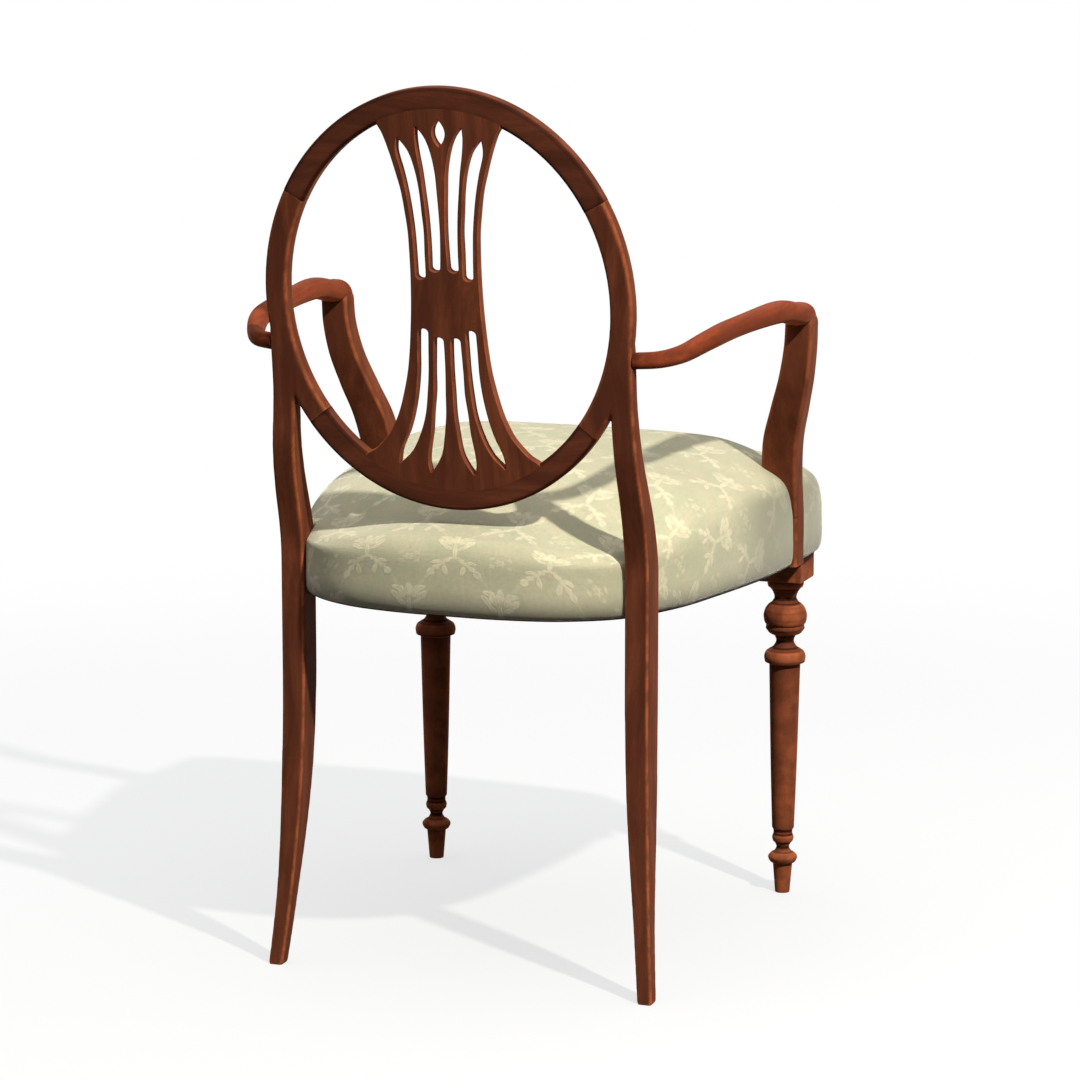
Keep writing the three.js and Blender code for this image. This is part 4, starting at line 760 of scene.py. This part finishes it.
def seat_grid(count):
    """A square grid laid on the seat: for each point the place on the outline that it looks
    to, and how far out it is, from 0 at the hub to 1. The square's corners look to the seat's
    corners and its sides are shared out evenly along the outline."""
    a, b = np.meshgrid(steps(-1, 1, count), steps(-1, 1, count), indexing="ij")
    out = np.maximum(np.abs(a), np.abs(b))
    safe = np.maximum(out, 1e-9)
    rear, left = b >= np.abs(a), a > np.abs(b)
    front = -b >= np.abs(a)
    side = np.select([rear, left, front], [a / safe, 2 - b / safe, 4 - a / safe], 6 + b / safe)
    rear, front = (plan_run[np.argmin(np.linalg.norm(plan_line - corner, axis=1))]
                   for corner in (REAR_CORNER, FRONT_CORNER))
    marks = np.array([-rear, rear, front, plan_run[-1] - front, plan_run[-1] - rear])
    return plan_at(np.interp(side, [-1, 1, 3, 5, 7], marks)), out


def grid_faces(count, wide=None):
    """The faces of a grid of count rows of points, and as many columns unless told."""
    at = np.arange(count * (wide or count)).reshape(count, -1)
    return np.stack([at[:-1, :-1], at[1:, :-1], at[1:, 1:], at[:-1, 1:]], -1).reshape(-1, 4)


def drawn_in(rim, inset):
    """Rim places moved towards the hub by an inset in metres."""
    to_hub = np.linalg.norm(rim - HUB, axis=-1, keepdims=True)
    return HUB + (rim - HUB) * (1 - inset[..., None] / to_hub)


RAILS_FOOT, RAILS_FALL, EDGE_MORE, HEM_PLAY = 0.403, 0.009, 0.010, 0.0004


def forward_share(y):
    return (SEAT_BACK - y) / (SEAT_BACK + SEAT_FRONT)


def hem_height(y):
    """Outside of the cover under the rails, which rise to the rear."""
    return RAILS_FOOT - RAILS_FALL * forward_share(y) - HEM_PLAY - COVER


# The cover's section from the hem up: way in from the rim in metres, height as a share.
cover_rows = np.array([
    [0.025, 0], [0.0085, 0.001], [0.0025, 0.022], [0, 0.075], [0, 0.3], [0.001, 0.5], [0.005, 0.64],
    [0.014, 0.745], [0.03125, 0.835], [0.0625, 0.915], [0.1125, 0.97], [0.17, 0.995],
])
section = through(cover_rows[1:] * [1, SEAT_RISE], steps(0, 1, 600)) * [1, 1 / SEAT_RISE]
section = np.concatenate([cover_rows[:1], section])
section_run = run_along(section * [1, SEAT_RISE])
whole_run = section_run[-1] + LEVEL_RUN
HEM_TOP = 0.33
CORNER_FALL, FRONT_CORNER_FALL, SIDE_FALL, FRONT_SIDE_FALL = 0.017, 0.0155, 0.009, 0.003
REAR_FALL, REAR_CORNER_FALL, REAR_SLOPE, FULLNESS = 0.014, 0.011, 0.030, 0.05


def seat_run(count, start=0.0):
    """For each point of the square grid: its place on the outline, how far it lies along the
    section, the section's inset and share of the height there, and its share of the way out."""
    rim, out = seat_grid(count)
    travelled = whole_run - out * (whole_run - start)
    inset, up = (np.interp(travelled, section_run, section[:, n]) for n in (0, 1))
    return rim, travelled, inset, up, np.clip((whole_run - travelled) / LEVEL_RUN, 0, 1)


def seat_surface(count, into=0.0, hem=True):
    """The upholstered seat's skin on the square grid, moved inwards by a distance. Outside the
    crown, inset and height follow the section by its length, a little fuller on the sides;
    inside it, the place runs on to the hub and the height rises as 1 - f^2, where f is the
    share of the way out. From it falls the square of the way to the side, an eased fall to each
    corner, and to the rear an eased fall and a square one."""
    start = 0.0 if hem else np.interp(HEM_TOP, section[:, 1], section_run)
    rim, _, inset, up, f = seat_run(count, start)
    full = ease(np.abs(rim[..., 0]) / SEAT_HALF, 0.9, 0.97)
    up = up + FULLNESS * full * ease(up, 0.45, 0.6) * (1 - ease(up, 0.66, 0.84))
    plan = HUB + (drawn_in(rim, inset + into * (up > 0)) - HUB) * f[..., None]
    away = np.linalg.norm(drawn_in(rim, inset) - HUB, axis=-1) / SEAT_HALF
    back, aside, forward = plan[..., 1] / SEAT_BACK, plan[..., 0] / SEAT_HALF, -plan[..., 1] / SEAT_FRONT
    front_corner = FRONT_CORNER_FALL * ease(away * f, 0.82, 1.12) * ease(forward, 0.35, 0.75)
    corner = np.maximum(CORNER_FALL * ease(away * f, 0.98, 1.36), front_corner)
    side = mix(SIDE_FALL, FRONT_SIDE_FALL, ease(forward, 0.1, 0.4)) * aside ** 2
    fall = (side + corner) * ease(up, 0.3, 0.7)
    rear = REAR_FALL + REAR_CORNER_FALL * ease(np.abs(aside), 0.25, 0.65)
    fall = fall + ease(back, 0.2, 0.8) * rear * ease(up, 0.4, 0.85)
    fall = fall + REAR_SLOPE * np.maximum(0, back) ** 2 * ease(up, 0.7, 0.95)
    base = hem_height(plan[..., 1])
    z = base + (CROWN - base) * up
    z = z + (CROWN - z) * (1 - f ** 2) - fall
    z = z - np.where(up <= 0, -into, into * ease(up, 0.4, 0.8))
    return np.concatenate([plan, z[..., None]], -1), up


def plan_sheet(name, inset, height):
    """A level or sloping sheet on the seat's plan; inset and height depend on y."""
    rim, out = seat_grid(SHEET_GRID)
    flat = HUB + (drawn_in(rim, inset(rim[..., 1])) - HUB) * out[..., None]
    flat = np.concatenate([flat, height(flat[..., 1:])], -1)
    return made(name, flat.reshape(-1, 3), grid_faces(SHEET_GRID).tolist())


POST_INNER, POST_FRONT = POST_X - POST_WIDTH / 2, POST_Y - POST_DEPTH / 2
ROOM_LOW, ROOM_HIGH, ROOM_FAR, BLOCK_ROOM, ROOM_PLAY = 0.35, 0.6, 0.3, 0.4507, 0.0004


def crate(low, high):
    """A box between two corners."""
    (x0, y0, z0), (x1, y1, z1) = low, high
    around = np.array([[x0, y0], [x1, y0], [x1, y1], [x0, y1]])
    return skin("room", np.stack([np.insert(around, 2, z, 1) for z in (z0, z1)]))


def leg_rooms(with_supports, with_blocks):
    """The room that the legs and arm supports take in the upholstery, as one cutter."""
    rooms = [crate((POST_INNER - ROOM_PLAY, POST_FRONT - ROOM_PLAY, ROOM_LOW), (ROOM_FAR, ROOM_FAR, ROOM_HIGH))]
    if with_blocks:
        half = BLOCK / 2 + ROOM_PLAY
        rooms.append(crate((FRONT_X - half, FRONT_Y - half, ROOM_LOW),
                           (FRONT_X + half, FRONT_Y + half, BLOCK_ROOM)))
    if with_supports:
        rooms.append(skin("room", support_rows(steps(0.385, ROOM_HIGH, 60), ROOM_PLAY)))
    rooms += [mirrored("room", room) for room in rooms]
    return joined("leg_rooms", rooms)


def cut_round_legs(piece, with_supports=True, with_blocks=True):
    cutter = leg_rooms(with_supports, with_blocks)
    changed(piece, "BOOLEAN", operation="DIFFERENCE", solver="EXACT", object=cutter)
    applied(piece)
    bpy.data.objects.remove(cutter)
    piece.data.set_sharp_from_angle(angle=math.radians(50))


def thickened(piece, thickness, offset=-1):
    changed(piece, "SOLIDIFY", thickness=thickness, offset=offset)
    return applied(piece)


def weave_group():
    """Plain weave: warp and weft are two waves a thread apart, each over the other in turn;
    slubs are noise drawn out along the threads."""
    tree, given, out = group("plain_weave", [("Place", PLACE, None), ("Thread", NUMBER, 0.001)],
                             [("Height", NUMBER, None), ("Slub", NUMBER, None)])
    parts = node(tree, "ShaderNodeSeparateXYZ", {0: given.outputs["Place"]})
    u, v = (reckon(tree, "DIVIDE", parts.outputs[n], given.outputs["Thread"]) for n in (0, 1))
    wave = [reckon(tree, "SINE", reckon(tree, "MULTIPLY", c, math.pi)) for c in (u, v)]
    wave = [reckon(tree, "ABSOLUTE", w) for w in wave]
    parity = reckon(tree, "ADD", *(reckon(tree, "FLOOR", c) for c in (u, v)))
    over = reckon(tree, "ABSOLUTE", reckon(tree, "MODULO", parity, 2.0))
    mixed = node(tree, "ShaderNodeMix", {0: over, 2: wave[0], 3: wave[1]}, data_type="FLOAT").outputs[0]
    slub = speckle(tree, stretch(tree, given.outputs["Place"], (1, 0.15, 1)), 0.003, 2.0)
    feed(tree, out, {"Height": mixed, "Slub": slub})
    return tree


plain_weave = weave_group()


def woven(name, thread, dark, light, rough=0.85, depth=0.0003):
    """Cloth of plain weave with threads of a given width, from dark in the hollows between threads, which is painted
    shade, to light slubs.
    """
    material, tree, surface = shader(name, Roughness=rough, Specular_IOR_Level=0.25)
    weave = node(tree, "ShaderNodeGroup", {"Place": object_place(tree), "Thread": thread}, node_tree=plain_weave)
    # Painted shade: the colour darkens where the weave is low between threads.
    share = reckon(tree, "MULTIPLY", weave.outputs["Height"], 0.5)
    share = reckon(tree, "MULTIPLY_ADD", weave.outputs["Slub"], 0.6, share, clamp=True)
    tree.links.new(blend(tree, share, dark, light), surface.inputs["Base Color"])
    relief(tree, surface, weave.outputs["Height"], depth, 0.8)
    return material


hessian = woven("hessian", 0.0016, (0.20, 0.135, 0.065, 1), (0.47, 0.36, 0.21, 1))
jute = woven("jute_webbing", 0.0022, (0.25, 0.17, 0.085, 1), (0.52, 0.38, 0.22, 1))
lining = woven("black_lining", 0.0007, (0.008, 0.008, 0.008, 1), (0.035, 0.034, 0.033, 1), 0.95, 0.0001)

WEB, WEB_THICKNESS, WEB_LOW, WEB_RISE, WEB_SPACING, WEB_PLAY = 0.050, 0.002, 0.4504, 0.0024, 0.096, 0.0001
RAMP_FAR, RAMP_NEAR = WEB / 2 + 0.0084, WEB / 2 + 0.0004


def web(name, place, fore_and_aft, order):
    """A web along its run: it lies low, and rises by WEB_RISE with eased slopes over every
    second web that it crosses. Its ends follow the rails' outer edge, a little inside it."""
    along, across = steps(0, 1, 150), steps(-WEB / 2, WEB / 2, 11)
    n = 0 if fore_and_aft else 1
    ring_places = drawn_in(plan_line, 0.009 + EDGE_MORE * forward_share(plan_line[:, 1]))
    ends = []
    for way in (-1, 1):
        half = ring_places[ring_places[:, 1 - n] * way > 0]
        half = half[np.argsort(half[:, n])]
        ends.append(np.interp(place + across, half[:, n], half[:, 1 - n]))
    run = mix(ends[0], ends[1], along[:, None])
    rise = np.zeros_like(run)
    for i, crossing in enumerate((-WEB_SPACING, 0, WEB_SPACING)):
        if (i % 2 == 0) == (fore_and_aft == (order % 2 == 0)):
            rise = np.maximum(rise, ease(np.abs(run - crossing), RAMP_FAR, RAMP_NEAR))
    wide = np.broadcast_to(place + across, run.shape)
    z = WEB_LOW + WEB_RISE * rise + WEB_PLAY
    points, faces = np.stack([run, wide, z], -1), grid_faces(*run.shape)
    if fore_and_aft:
        points, faces = points[..., [1, 0, 2]], faces[:, ::-1]
    strap = thickened(made(name, points.reshape(-1, 3), faces.tolist()), WEB_THICKNESS - 2 * WEB_PLAY, 1)
    return strap, float(np.abs(ends[1] - ends[0]).mean())


for order in range(3):
    for fore_and_aft, label in ((True, "long"), (False, "cross")):
        name = f"{label}_web_{order + 1}"
        strap, long = web(f"{name}_jute", (order - 1) * WEB_SPACING, fore_and_aft, order)
        fitted(strap, "webbing", jute, name)

canvas = plan_sheet("seat_canvas_hessian", lambda y: 0.004 + EDGE_MORE * forward_share(y),
                    lambda y: np.full_like(y, 0.4553))
cut_round_legs(thickened(canvas, 0.0008, 1), with_blocks=False)
fitted(canvas, "hessian", hessian, "seat_canvas")

stuffing, tree, surface = shader("stuffing", Roughness=0.95, Specular_IOR_Level=0.15)
hair = speckle(tree, object_place(tree), 0.004, 6.0, 0.7)
tree.links.new(blend(tree, hair, (0.42, 0.36, 0.27, 1), (0.80, 0.76, 0.66, 1)), surface.inputs["Base Color"])
relief(tree, surface, hair, 0.002, 0.8)
TUCK, PAD_PLAY, PAD_FOOT, PAD_EDGE = 0.0015, 0.0014, 0.4566, 0.002


def near_cut(p, play):
    """How close points are to the cuts round posts and supports: 1 inside them, 0 beyond play."""
    x, y = np.abs(p[:, 0]), p[:, 1]
    centre_x, centre_y = (np.interp(p[:, 2], heights, middle) for middle in support_middle.T)
    post = np.hypot(np.maximum(POST_INNER - x, 0), np.maximum(POST_FRONT - y, 0))
    support = np.hypot(np.maximum(np.abs(x - centre_x) - FOOT_WIDE / 2, 0),
                       np.maximum(np.abs(y - centre_y) - FOOT_DEEP / 2, 0))
    return 1 - ease(np.minimum(post, support), 0, play)


def sunk(p):
    """The same points drawn down next to the cuts, where the top is tucked in."""
    down = TUCK * near_cut(p, 0.03) ** 2 * ease(p[:, 2], 0.47, 0.50)
    return p - down[:, None] * Z


top = seat_surface(SHEET_GRID, COVER + PAD_PLAY, hem=False)[0]
top = sunk(top.reshape(-1, 3)).reshape(top.shape)
lift = np.maximum(0, PAD_FOOT + PAD_EDGE - top[..., 2])
top[..., :2] = drawn_in(top[..., :2] + 1e-9, 0.9 * lift)
top[..., 2] += lift
under = top.copy()
under[..., 2] = PAD_FOOT
faces = grid_faces(SHEET_GRID)
at = np.arange(SHEET_GRID ** 2).reshape(SHEET_GRID, -1)
edge = np.concatenate([at[:-1, 0], at[-1, :-1], at[:0:-1, -1], at[0, :0:-1]])
wall = np.stack([edge, np.roll(edge, -1), np.roll(edge, -1) + at.size, edge + at.size], -1)
pad = made("seat_pad_stuffing", np.concatenate([top.reshape(-1, 3), under.reshape(-1, 3)]),
           np.concatenate([faces, faces[:, ::-1] + at.size, wall[:, ::-1]]).tolist())
cut_round_legs(pad)
fitted(pad, "stuffing", stuffing, "seat_pad")

# Seat cover. One square of cream and sage damask, pulled tight over the stuffing and down over
# the rails, tacked underneath, and cut and turned in round the legs and arm supports.
COVER_GRID, SWELL, MOMENTS = 105, 0.005, 20
rest, up = seat_surface(COVER_GRID)
points = rest.reshape(-1, 3)
cover = made("seat_cover_damask", points, grid_faces(COVER_GRID).tolist(), 180)


def cloth_lengths(count):
    """Where each point of the grid lies on the flat square of cloth, in metres: its plan place,
    moved out by what the section is longer than it is wide, straight to the side it hangs on."""
    rim, travelled, inset, _, f = seat_run(count)
    plan = HUB + (drawn_in(rim, inset) - HUB) * f[..., None]
    extra = np.maximum(0, (section_run[-1] - travelled) - (section[-1, 0] - inset))
    way = (rim - HUB) / np.linalg.norm(rim - HUB, axis=-1, keepdims=True)
    way = np.sign(way) * np.abs(way) ** 5
    way /= np.linalg.norm(way, axis=-1, keepdims=True)
    return plan + way * extra[..., None]


flat_cloth = cloth_lengths(COVER_GRID).reshape(-1, 2)
corner_of = np.empty(len(cover.data.loops), np.int32)
cover.data.loops.foreach_get("vertex_index", corner_of)
cover.data.uv_layers.new(name="cloth").data.foreach_set("uv", flat_cloth[corner_of].ravel().astype(np.float32))

# The cloth is held at its hem and cuts and swells over the stuffing; only its swell is kept.
held = np.maximum(near_cut(points, 0.012), 1 - ease(up.ravel(), 0.03, 0.22))
outward = triples(cover.data.vertex_normals, "vector")
tacked = cover.vertex_groups.new(name="tacked")
for i in np.nonzero(held > 0.01)[0].tolist():
    tacked.add([i], float(held[i]), "REPLACE")
cloth = changed(cover, "CLOTH")
settled(cloth.settings, quality=6, mass=0.3, tension_stiffness=25, compression_stiffness=25,
        shear_stiffness=12, bending_stiffness=1.5, use_pressure=True, uniform_pressure_force=4,
        vertex_group_mass="tacked")
cloth.settings.effector_weights.gravity = 0
cloth.collision_settings.use_collision = False
settled(cloth.point_cache, frame_start=1, frame_end=MOMENTS)
for moment in range(1, MOMENTS + 1):
    bpy.context.scene.frame_set(moment)
applied(cover)
bpy.context.scene.frame_set(1)
cover.vertex_groups.clear()
swell = ((triples(cover.data.vertices, "co") - points) * outward).sum(1, keepdims=True)
points = points + outward * np.clip(swell, 0, SWELL)
points = sunk(points)
cover.data.vertices.foreach_set("co", points.ravel())
cover.data.update()
changed(cover, "SUBSURF", levels=1, render_levels=1)
applied(cover)
cut_round_legs(thickened(cover, COVER))


class Line:
    """A number that varies over the cloth, reckoned by Math nodes: Lines and numbers are
    added, subtracted, multiplied and divided with the usual signs."""

    def __init__(self, tree, socket):
        self.tree, self.socket = tree, socket

    def by(self, operation, *others):
        values = [getattr(other, "socket", other) for other in others]
        return Line(self.tree, reckon(self.tree, operation, self.socket, *values))

    def __add__(self, other):
        return self.by("ADD", other)

    def __sub__(self, other):
        return self.by("SUBTRACT", other)

    def __mul__(self, other):
        return self.by("MULTIPLY", other)

    def __truediv__(self, other):
        return self.by("DIVIDE", other)

    def size(self):
        return self.by("ABSOLUTE")

    def inside(self, half, soft=0.0012):
        """1 where the number is under half, falling to 0 over a soft edge."""
        return Line(self.tree, between(self.tree, self.by("SUBTRACT", half).socket, soft, -soft))


REPEAT = {"Repeat Width": 0.100, "Repeat Height": 0.150}
FIGURE_TAKES = [("Place", PLACE, None)] + [(label, NUMBER, value) for label, value in REPEAT.items()]
FIGURE_GIVES = [("Figure", NUMBER, None), ("Accent", NUMBER, None)]
# Each leaf: its middle in metres from the neck, lean in radians, half length and half width.
LEAVES = (
    (0.0, -0.010, 0.0, 0.0135, 0.0029), (0.0, -0.0295, 0.0, 0.0085, 0.0048),
    (0.0078, -0.0275, -0.35, 0.0080, 0.0041), (0.0145, -0.0235, -0.75, 0.0075, 0.0037),
    (0.0085, -0.0160, -1.0, 0.0060, 0.0028), (0.0255, 0.0235, 0.6, 0.0050, 0.0042),
    (0.0100, 0.0200, -0.25, 0.0065, 0.0030), (0.0195, 0.0095, 1.25, 0.0060, 0.0028),
    (0.0370, 0.0430, 1.3, 0.0060, 0.0030),
)


def motif_group():
    """One damask motif round a neck at 0, 0, on cloth places in metres, mirrored left and right.
    Two arms flare up from the neck along |2x/w|^1.1 = sin(pi y / h), strong at first and then a
    faint stem to the next motif; a band's distance is |that difference| over its slope. Under
    the neck hangs a fan of leaves, and in the eye beside it stands a rosette of beads."""
    tree, given, out = group("damask_motif", FIGURE_TAKES, FIGURE_GIVES)
    parts = node(tree, "ShaderNodeSeparateXYZ", {0: given.outputs["Place"]})
    x, y = Line(tree, parts.outputs[0]), Line(tree, parts.outputs[1])
    w, h = Line(tree, given.outputs["Repeat Width"]), Line(tree, given.outputs["Repeat Height"])
    x = (x - (x / w + 0.5).by("FLOOR") * w).size()
    y = y - (y / h + 0.5).by("FLOOR") * h
    turn, across = y.size() / h * math.pi, x / w * 2
    rise = across.by("POWER", 0.1)
    slope_x, slope_y = rise / w * 2.2, turn.by("COSINE") / h * math.pi
    gap = (turn.by("SINE") - across * rise).size() / (slope_x * slope_x + slope_y * slope_y + 1.0).by("SQRT")
    scallops = ((x * 0.7 + y) * (2 * math.pi / 0.0095)).by("SINE")
    near = y.inside(0.023, 0.004)
    arms = gap.inside(scallops * 0.0008 + 0.0028, 0.0018) * near
    stem = gap.inside(scallops * 0.0004 + 0.0013) * 0.35
    figure = arms.by("MAXIMUM", stem) * y.by("GREATER_THAN", 0.0)

    def leaf(cx, cy, lean, long, wide):
        """A leaf leaning by an angle from upright: inside (a/wide)^2 + |b/long|^1.6 = 1."""
        dx, dy = x - cx, y - cy
        c, s = math.cos(lean), math.sin(lean)
        side, along = dx * c - dy * s, dx * s + dy * c
        edge = (side / wide).by("POWER", 2.0) + (along / long).size().by("POWER", 1.6)
        vein = side.size().inside(0.0003, 0.0004) * -0.35 + 1
        return edge.inside(1.0, 0.4) * vein

    for shape in LEAVES:
        figure = figure.by("MAXIMUM", leaf(*shape))
    dx, dy = x - w * 0.5, y - h * 0.02
    r, angle = (dx * dx + dy * dy).by("SQRT"), dy.by("ARCTAN2", dx)
    beads = (r - 0.0115).size().inside(((angle * 5.0).by("COSINE") + 0.3) * 0.0020)
    beads = beads.by("MAXIMUM", r.inside(((angle * 6.0).by("COSINE") * 0.25 + 1) * 0.0052))
    dy = y - 0.0115
    accent = (x * x + dy * dy).by("SQRT").inside(0.0030).by("MAXIMUM", r.inside(0.0016))
    feed(tree, out, {"Figure": figure.by("MAXIMUM", beads * 0.6).socket, "Accent": accent.socket})
    return tree


def damask_group():
    """Traditional ogee damask: the motif stands on two lattices, the second half a repeat aside
    and half a repeat up, so that the arms of one knot meet the head of the next."""
    tree, given, out = group("damask_figure", FIGURE_TAKES, FIGURE_GIVES)
    place = wandering(tree, given.outputs["Place"], 60.0, 2.0, (0.0025, 0.0025, 0.0))
    repeat = {label: given.outputs[label] for label in REPEAT}
    half = {n: reckon(tree, "MULTIPLY", value, 0.5) for n, value in enumerate(repeat.values())}
    half = node(tree, "ShaderNodeCombineXYZ", half).outputs[0]
    motif = motif_group()
    aside = node(tree, "ShaderNodeVectorMath", {0: place, 1: half}, operation="ADD").outputs[0]
    found = [node(tree, "ShaderNodeGroup", {"Place": start, **repeat}, node_tree=motif)
             for start in (place, aside)]
    for label in ("Figure", "Accent"):
        both = reckon(tree, "MAXIMUM", found[0].outputs[label], found[1].outputs[label], clamp=True)
        tree.links.new(both, out.inputs[label])
    return tree


damask, tree, surface = shader(
    "damask", Sheen_Weight=0.7, Sheen_Roughness=0.4, Sheen_Tint=(1.0, 0.97, 0.82, 1), Specular_IOR_Level=0.3,
)
cloth_place = node(tree, "ShaderNodeUVMap", uv_map="cloth").outputs[0]
laid = node(tree, "ShaderNodeMapping", {"Vector": cloth_place, "Location": (0.0107, -0.2995, 0)}).outputs[0]
figure = node(tree, "ShaderNodeGroup", {"Place": laid, **REPEAT}, node_tree=damask_group())
weave = node(tree, "ShaderNodeGroup", {"Place": cloth_place, "Thread": 0.0006}, node_tree=plain_weave)
faded = speckle(tree, cloth_place, 0.05, 3.0, 0.6)
mottled = speckle(tree, cloth_place, 0.005, 3.0, 0.65)
ground = blend(tree, between(tree, faded, 0.35, 0.65), (0.570, 0.555, 0.350, 1), (0.650, 0.595, 0.385, 1))
ground = blend(tree, between(tree, mottled, 0.4, 0.7, 0.0, 0.45), ground, (0.50, 0.475, 0.33, 1))
raised = blend(tree, between(tree, mottled, 0.35, 0.65), (0.80, 0.72, 0.47, 1), (0.90, 0.82, 0.55, 1))
worn_off = between(tree, speckle(tree, cloth_place, 0.012, 3.0, 0.7), 0.35, 0.62, 0.45, 0.95)
patterned = blend(tree, reckon(tree, "MULTIPLY", figure.outputs["Figure"], worn_off), ground, raised)
accents = reckon(tree, "MULTIPLY", figure.outputs["Accent"], 0.35)
patterned = blend(tree, accents, patterned, (0.46, 0.41, 0.29, 1))
slubs = between(tree, weave.outputs["Slub"], 0.35, 0.65, 0.0, 0.12)
thready = blend(tree, slubs, patterned, (0.42, 0.40, 0.28, 1))
x, y, z = node(tree, "ShaderNodeSeparateXYZ", {0: object_place(tree)}).outputs
# Painted shade: the lower sides darken towards the front, by the arm supports, where the cover turns away from the
# light.
side_shade_by_supports = between(tree, y, -0.06, 0.04, 0.75, 0.0)
for share in (between(tree, z, 0.475, 0.505, 1.0, 0.0), between(tree, reckon(tree, "ABSOLUTE", x), 0.2, 0.24)):
    side_shade_by_supports = reckon(tree, "MULTIPLY", side_shade_by_supports, share)
with_painted_side_shade = blend(tree, side_shade_by_supports, thready, (0.26, 0.245, 0.17, 1))
# Painted shade: the cover darkens towards the hem, where it turns under and away from the light.
over_hem = reckon(tree, "MULTIPLY_ADD", y, -0.0162, z)
with_painted_hem_shade = blend(tree, between(tree, over_hem, 0.3975, 0.430, 0.8, 0.0), with_painted_side_shade, (0.22, 0.20, 0.15, 1))
gloss = between(tree, figure.outputs["Figure"], 0.0, 1.0, 0.86, 0.5)
feed(tree, surface, {"Base Color": with_painted_hem_shade, "Roughness": gloss})
raise_height = reckon(tree, "MULTIPLY_ADD", weave.outputs["Height"], 0.4, figure.outputs["Figure"])
relief(tree, surface, raise_height, 0.0003, 0.7)
fitted(cover, "damask", damask, "seat_cover")

# Dust cover. A sheet of black lining, turned in and tacked under the rails to keep the stuffing
# in, and cut round the four legs.
dust = plan_sheet("dust_cover_lining", lambda y: np.full_like(y, 0.009), lambda y: hem_height(y) - 0.0005)
dust.data.flip_normals()
cut_round_legs(thickened(dust, 0.0009), with_supports=False)
fitted(dust, "lining", lining, "dust_cover")

# Floor and light. A plain white studio floor that fades into a white background, one soft key
# light from behind on the sitter's right, and even light all round.
NEAR, FAR, FLOOR_HALF, SKY_LOW, SKY_MORE, SKY_POWER = 0.9, 2.2, 40, 0.055, 1.7, 3.0


def seen_rays(tree):
    """1 for rays from the camera, straight or by way of a gloss or glass, 0 for the others."""
    rays = node(tree, "ShaderNodeLightPath").outputs
    seen = reckon(tree, "ADD", rays["Is Camera Ray"], rays["Is Glossy Ray"])
    return reckon(tree, "ADD", seen, rays["Is Transmission Ray"], clamp=True)


floor_paper, tree, surface = shader("floor_paper", Roughness=0.9, Specular_IOR_Level=0.1)
from_chair = node(tree, "ShaderNodeVectorMath", {0: object_place(tree)}, operation="LENGTH").outputs["Value"]
seen = seen_rays(tree)
share = reckon(tree, "MULTIPLY", between(tree, from_chair, NEAR, FAR, 0.72, 1.0), seen)
tree.links.new(blend(tree, seen, (0.06, 0.06, 0.06, 1), (0.80, 0.80, 0.80, 1)), surface.inputs["Base Color"])
glow = between(tree, from_chair, NEAR, FAR, 0.97, 1.0)
glow = node(tree, "ShaderNodeEmission", {"Color": (1, 1, 1, 1), "Strength": glow})
mixed = node(tree, "ShaderNodeMixShader", {0: share, 1: surface.outputs[0], 2: glow.outputs[0]})
tree.links.new(mixed.outputs[0], tree.nodes["Material Output"].inputs["Surface"])
corners = np.array([[-1, -1, 0], [1, -1, 0], [1, 1, 0], [-1, 1, 0]]) * FLOOR_HALF
floor = made("floor", corners, [[0, 1, 2, 3]])
floor.data.materials.append(floor_paper)

world = bpy.data.worlds.new("studio")
world.use_nodes = True
bpy.context.scene.world = world
tree = world.node_tree
sky = node(tree, "ShaderNodeSeparateXYZ", {0: node(tree, "ShaderNodeTexCoord").outputs["Generated"]}).outputs[2]
sky = reckon(tree, "POWER", reckon(tree, "MAXIMUM", sky, 0.0), SKY_POWER)
sky = reckon(tree, "MULTIPLY_ADD", sky, SKY_MORE, SKY_LOW)
soft = node(tree, "ShaderNodeBackground", {"Color": (0.96, 0.98, 1.0, 1), "Strength": sky})
white = node(tree, "ShaderNodeBackground", {"Color": (1, 1, 1, 1), "Strength": 1.0})
mixed = node(tree, "ShaderNodeMixShader", {0: seen_rays(tree), 1: soft.outputs[0], 2: white.outputs[0]})
tree.links.new(mixed.outputs[0], tree.nodes["World Output"].inputs["Surface"])

key = settled(bpy.data.lights.new("key", "AREA"), shape="DISK", size=0.16, energy=222, color=(1.0, 0.97, 0.91))
aimed("key", key, (-2.8, 1.9, 3.7), Vector((0, 0, 0.4)))

bpy.context.scene.view_settings.view_transform = "Standard"
bpy.context.view_layer.update()
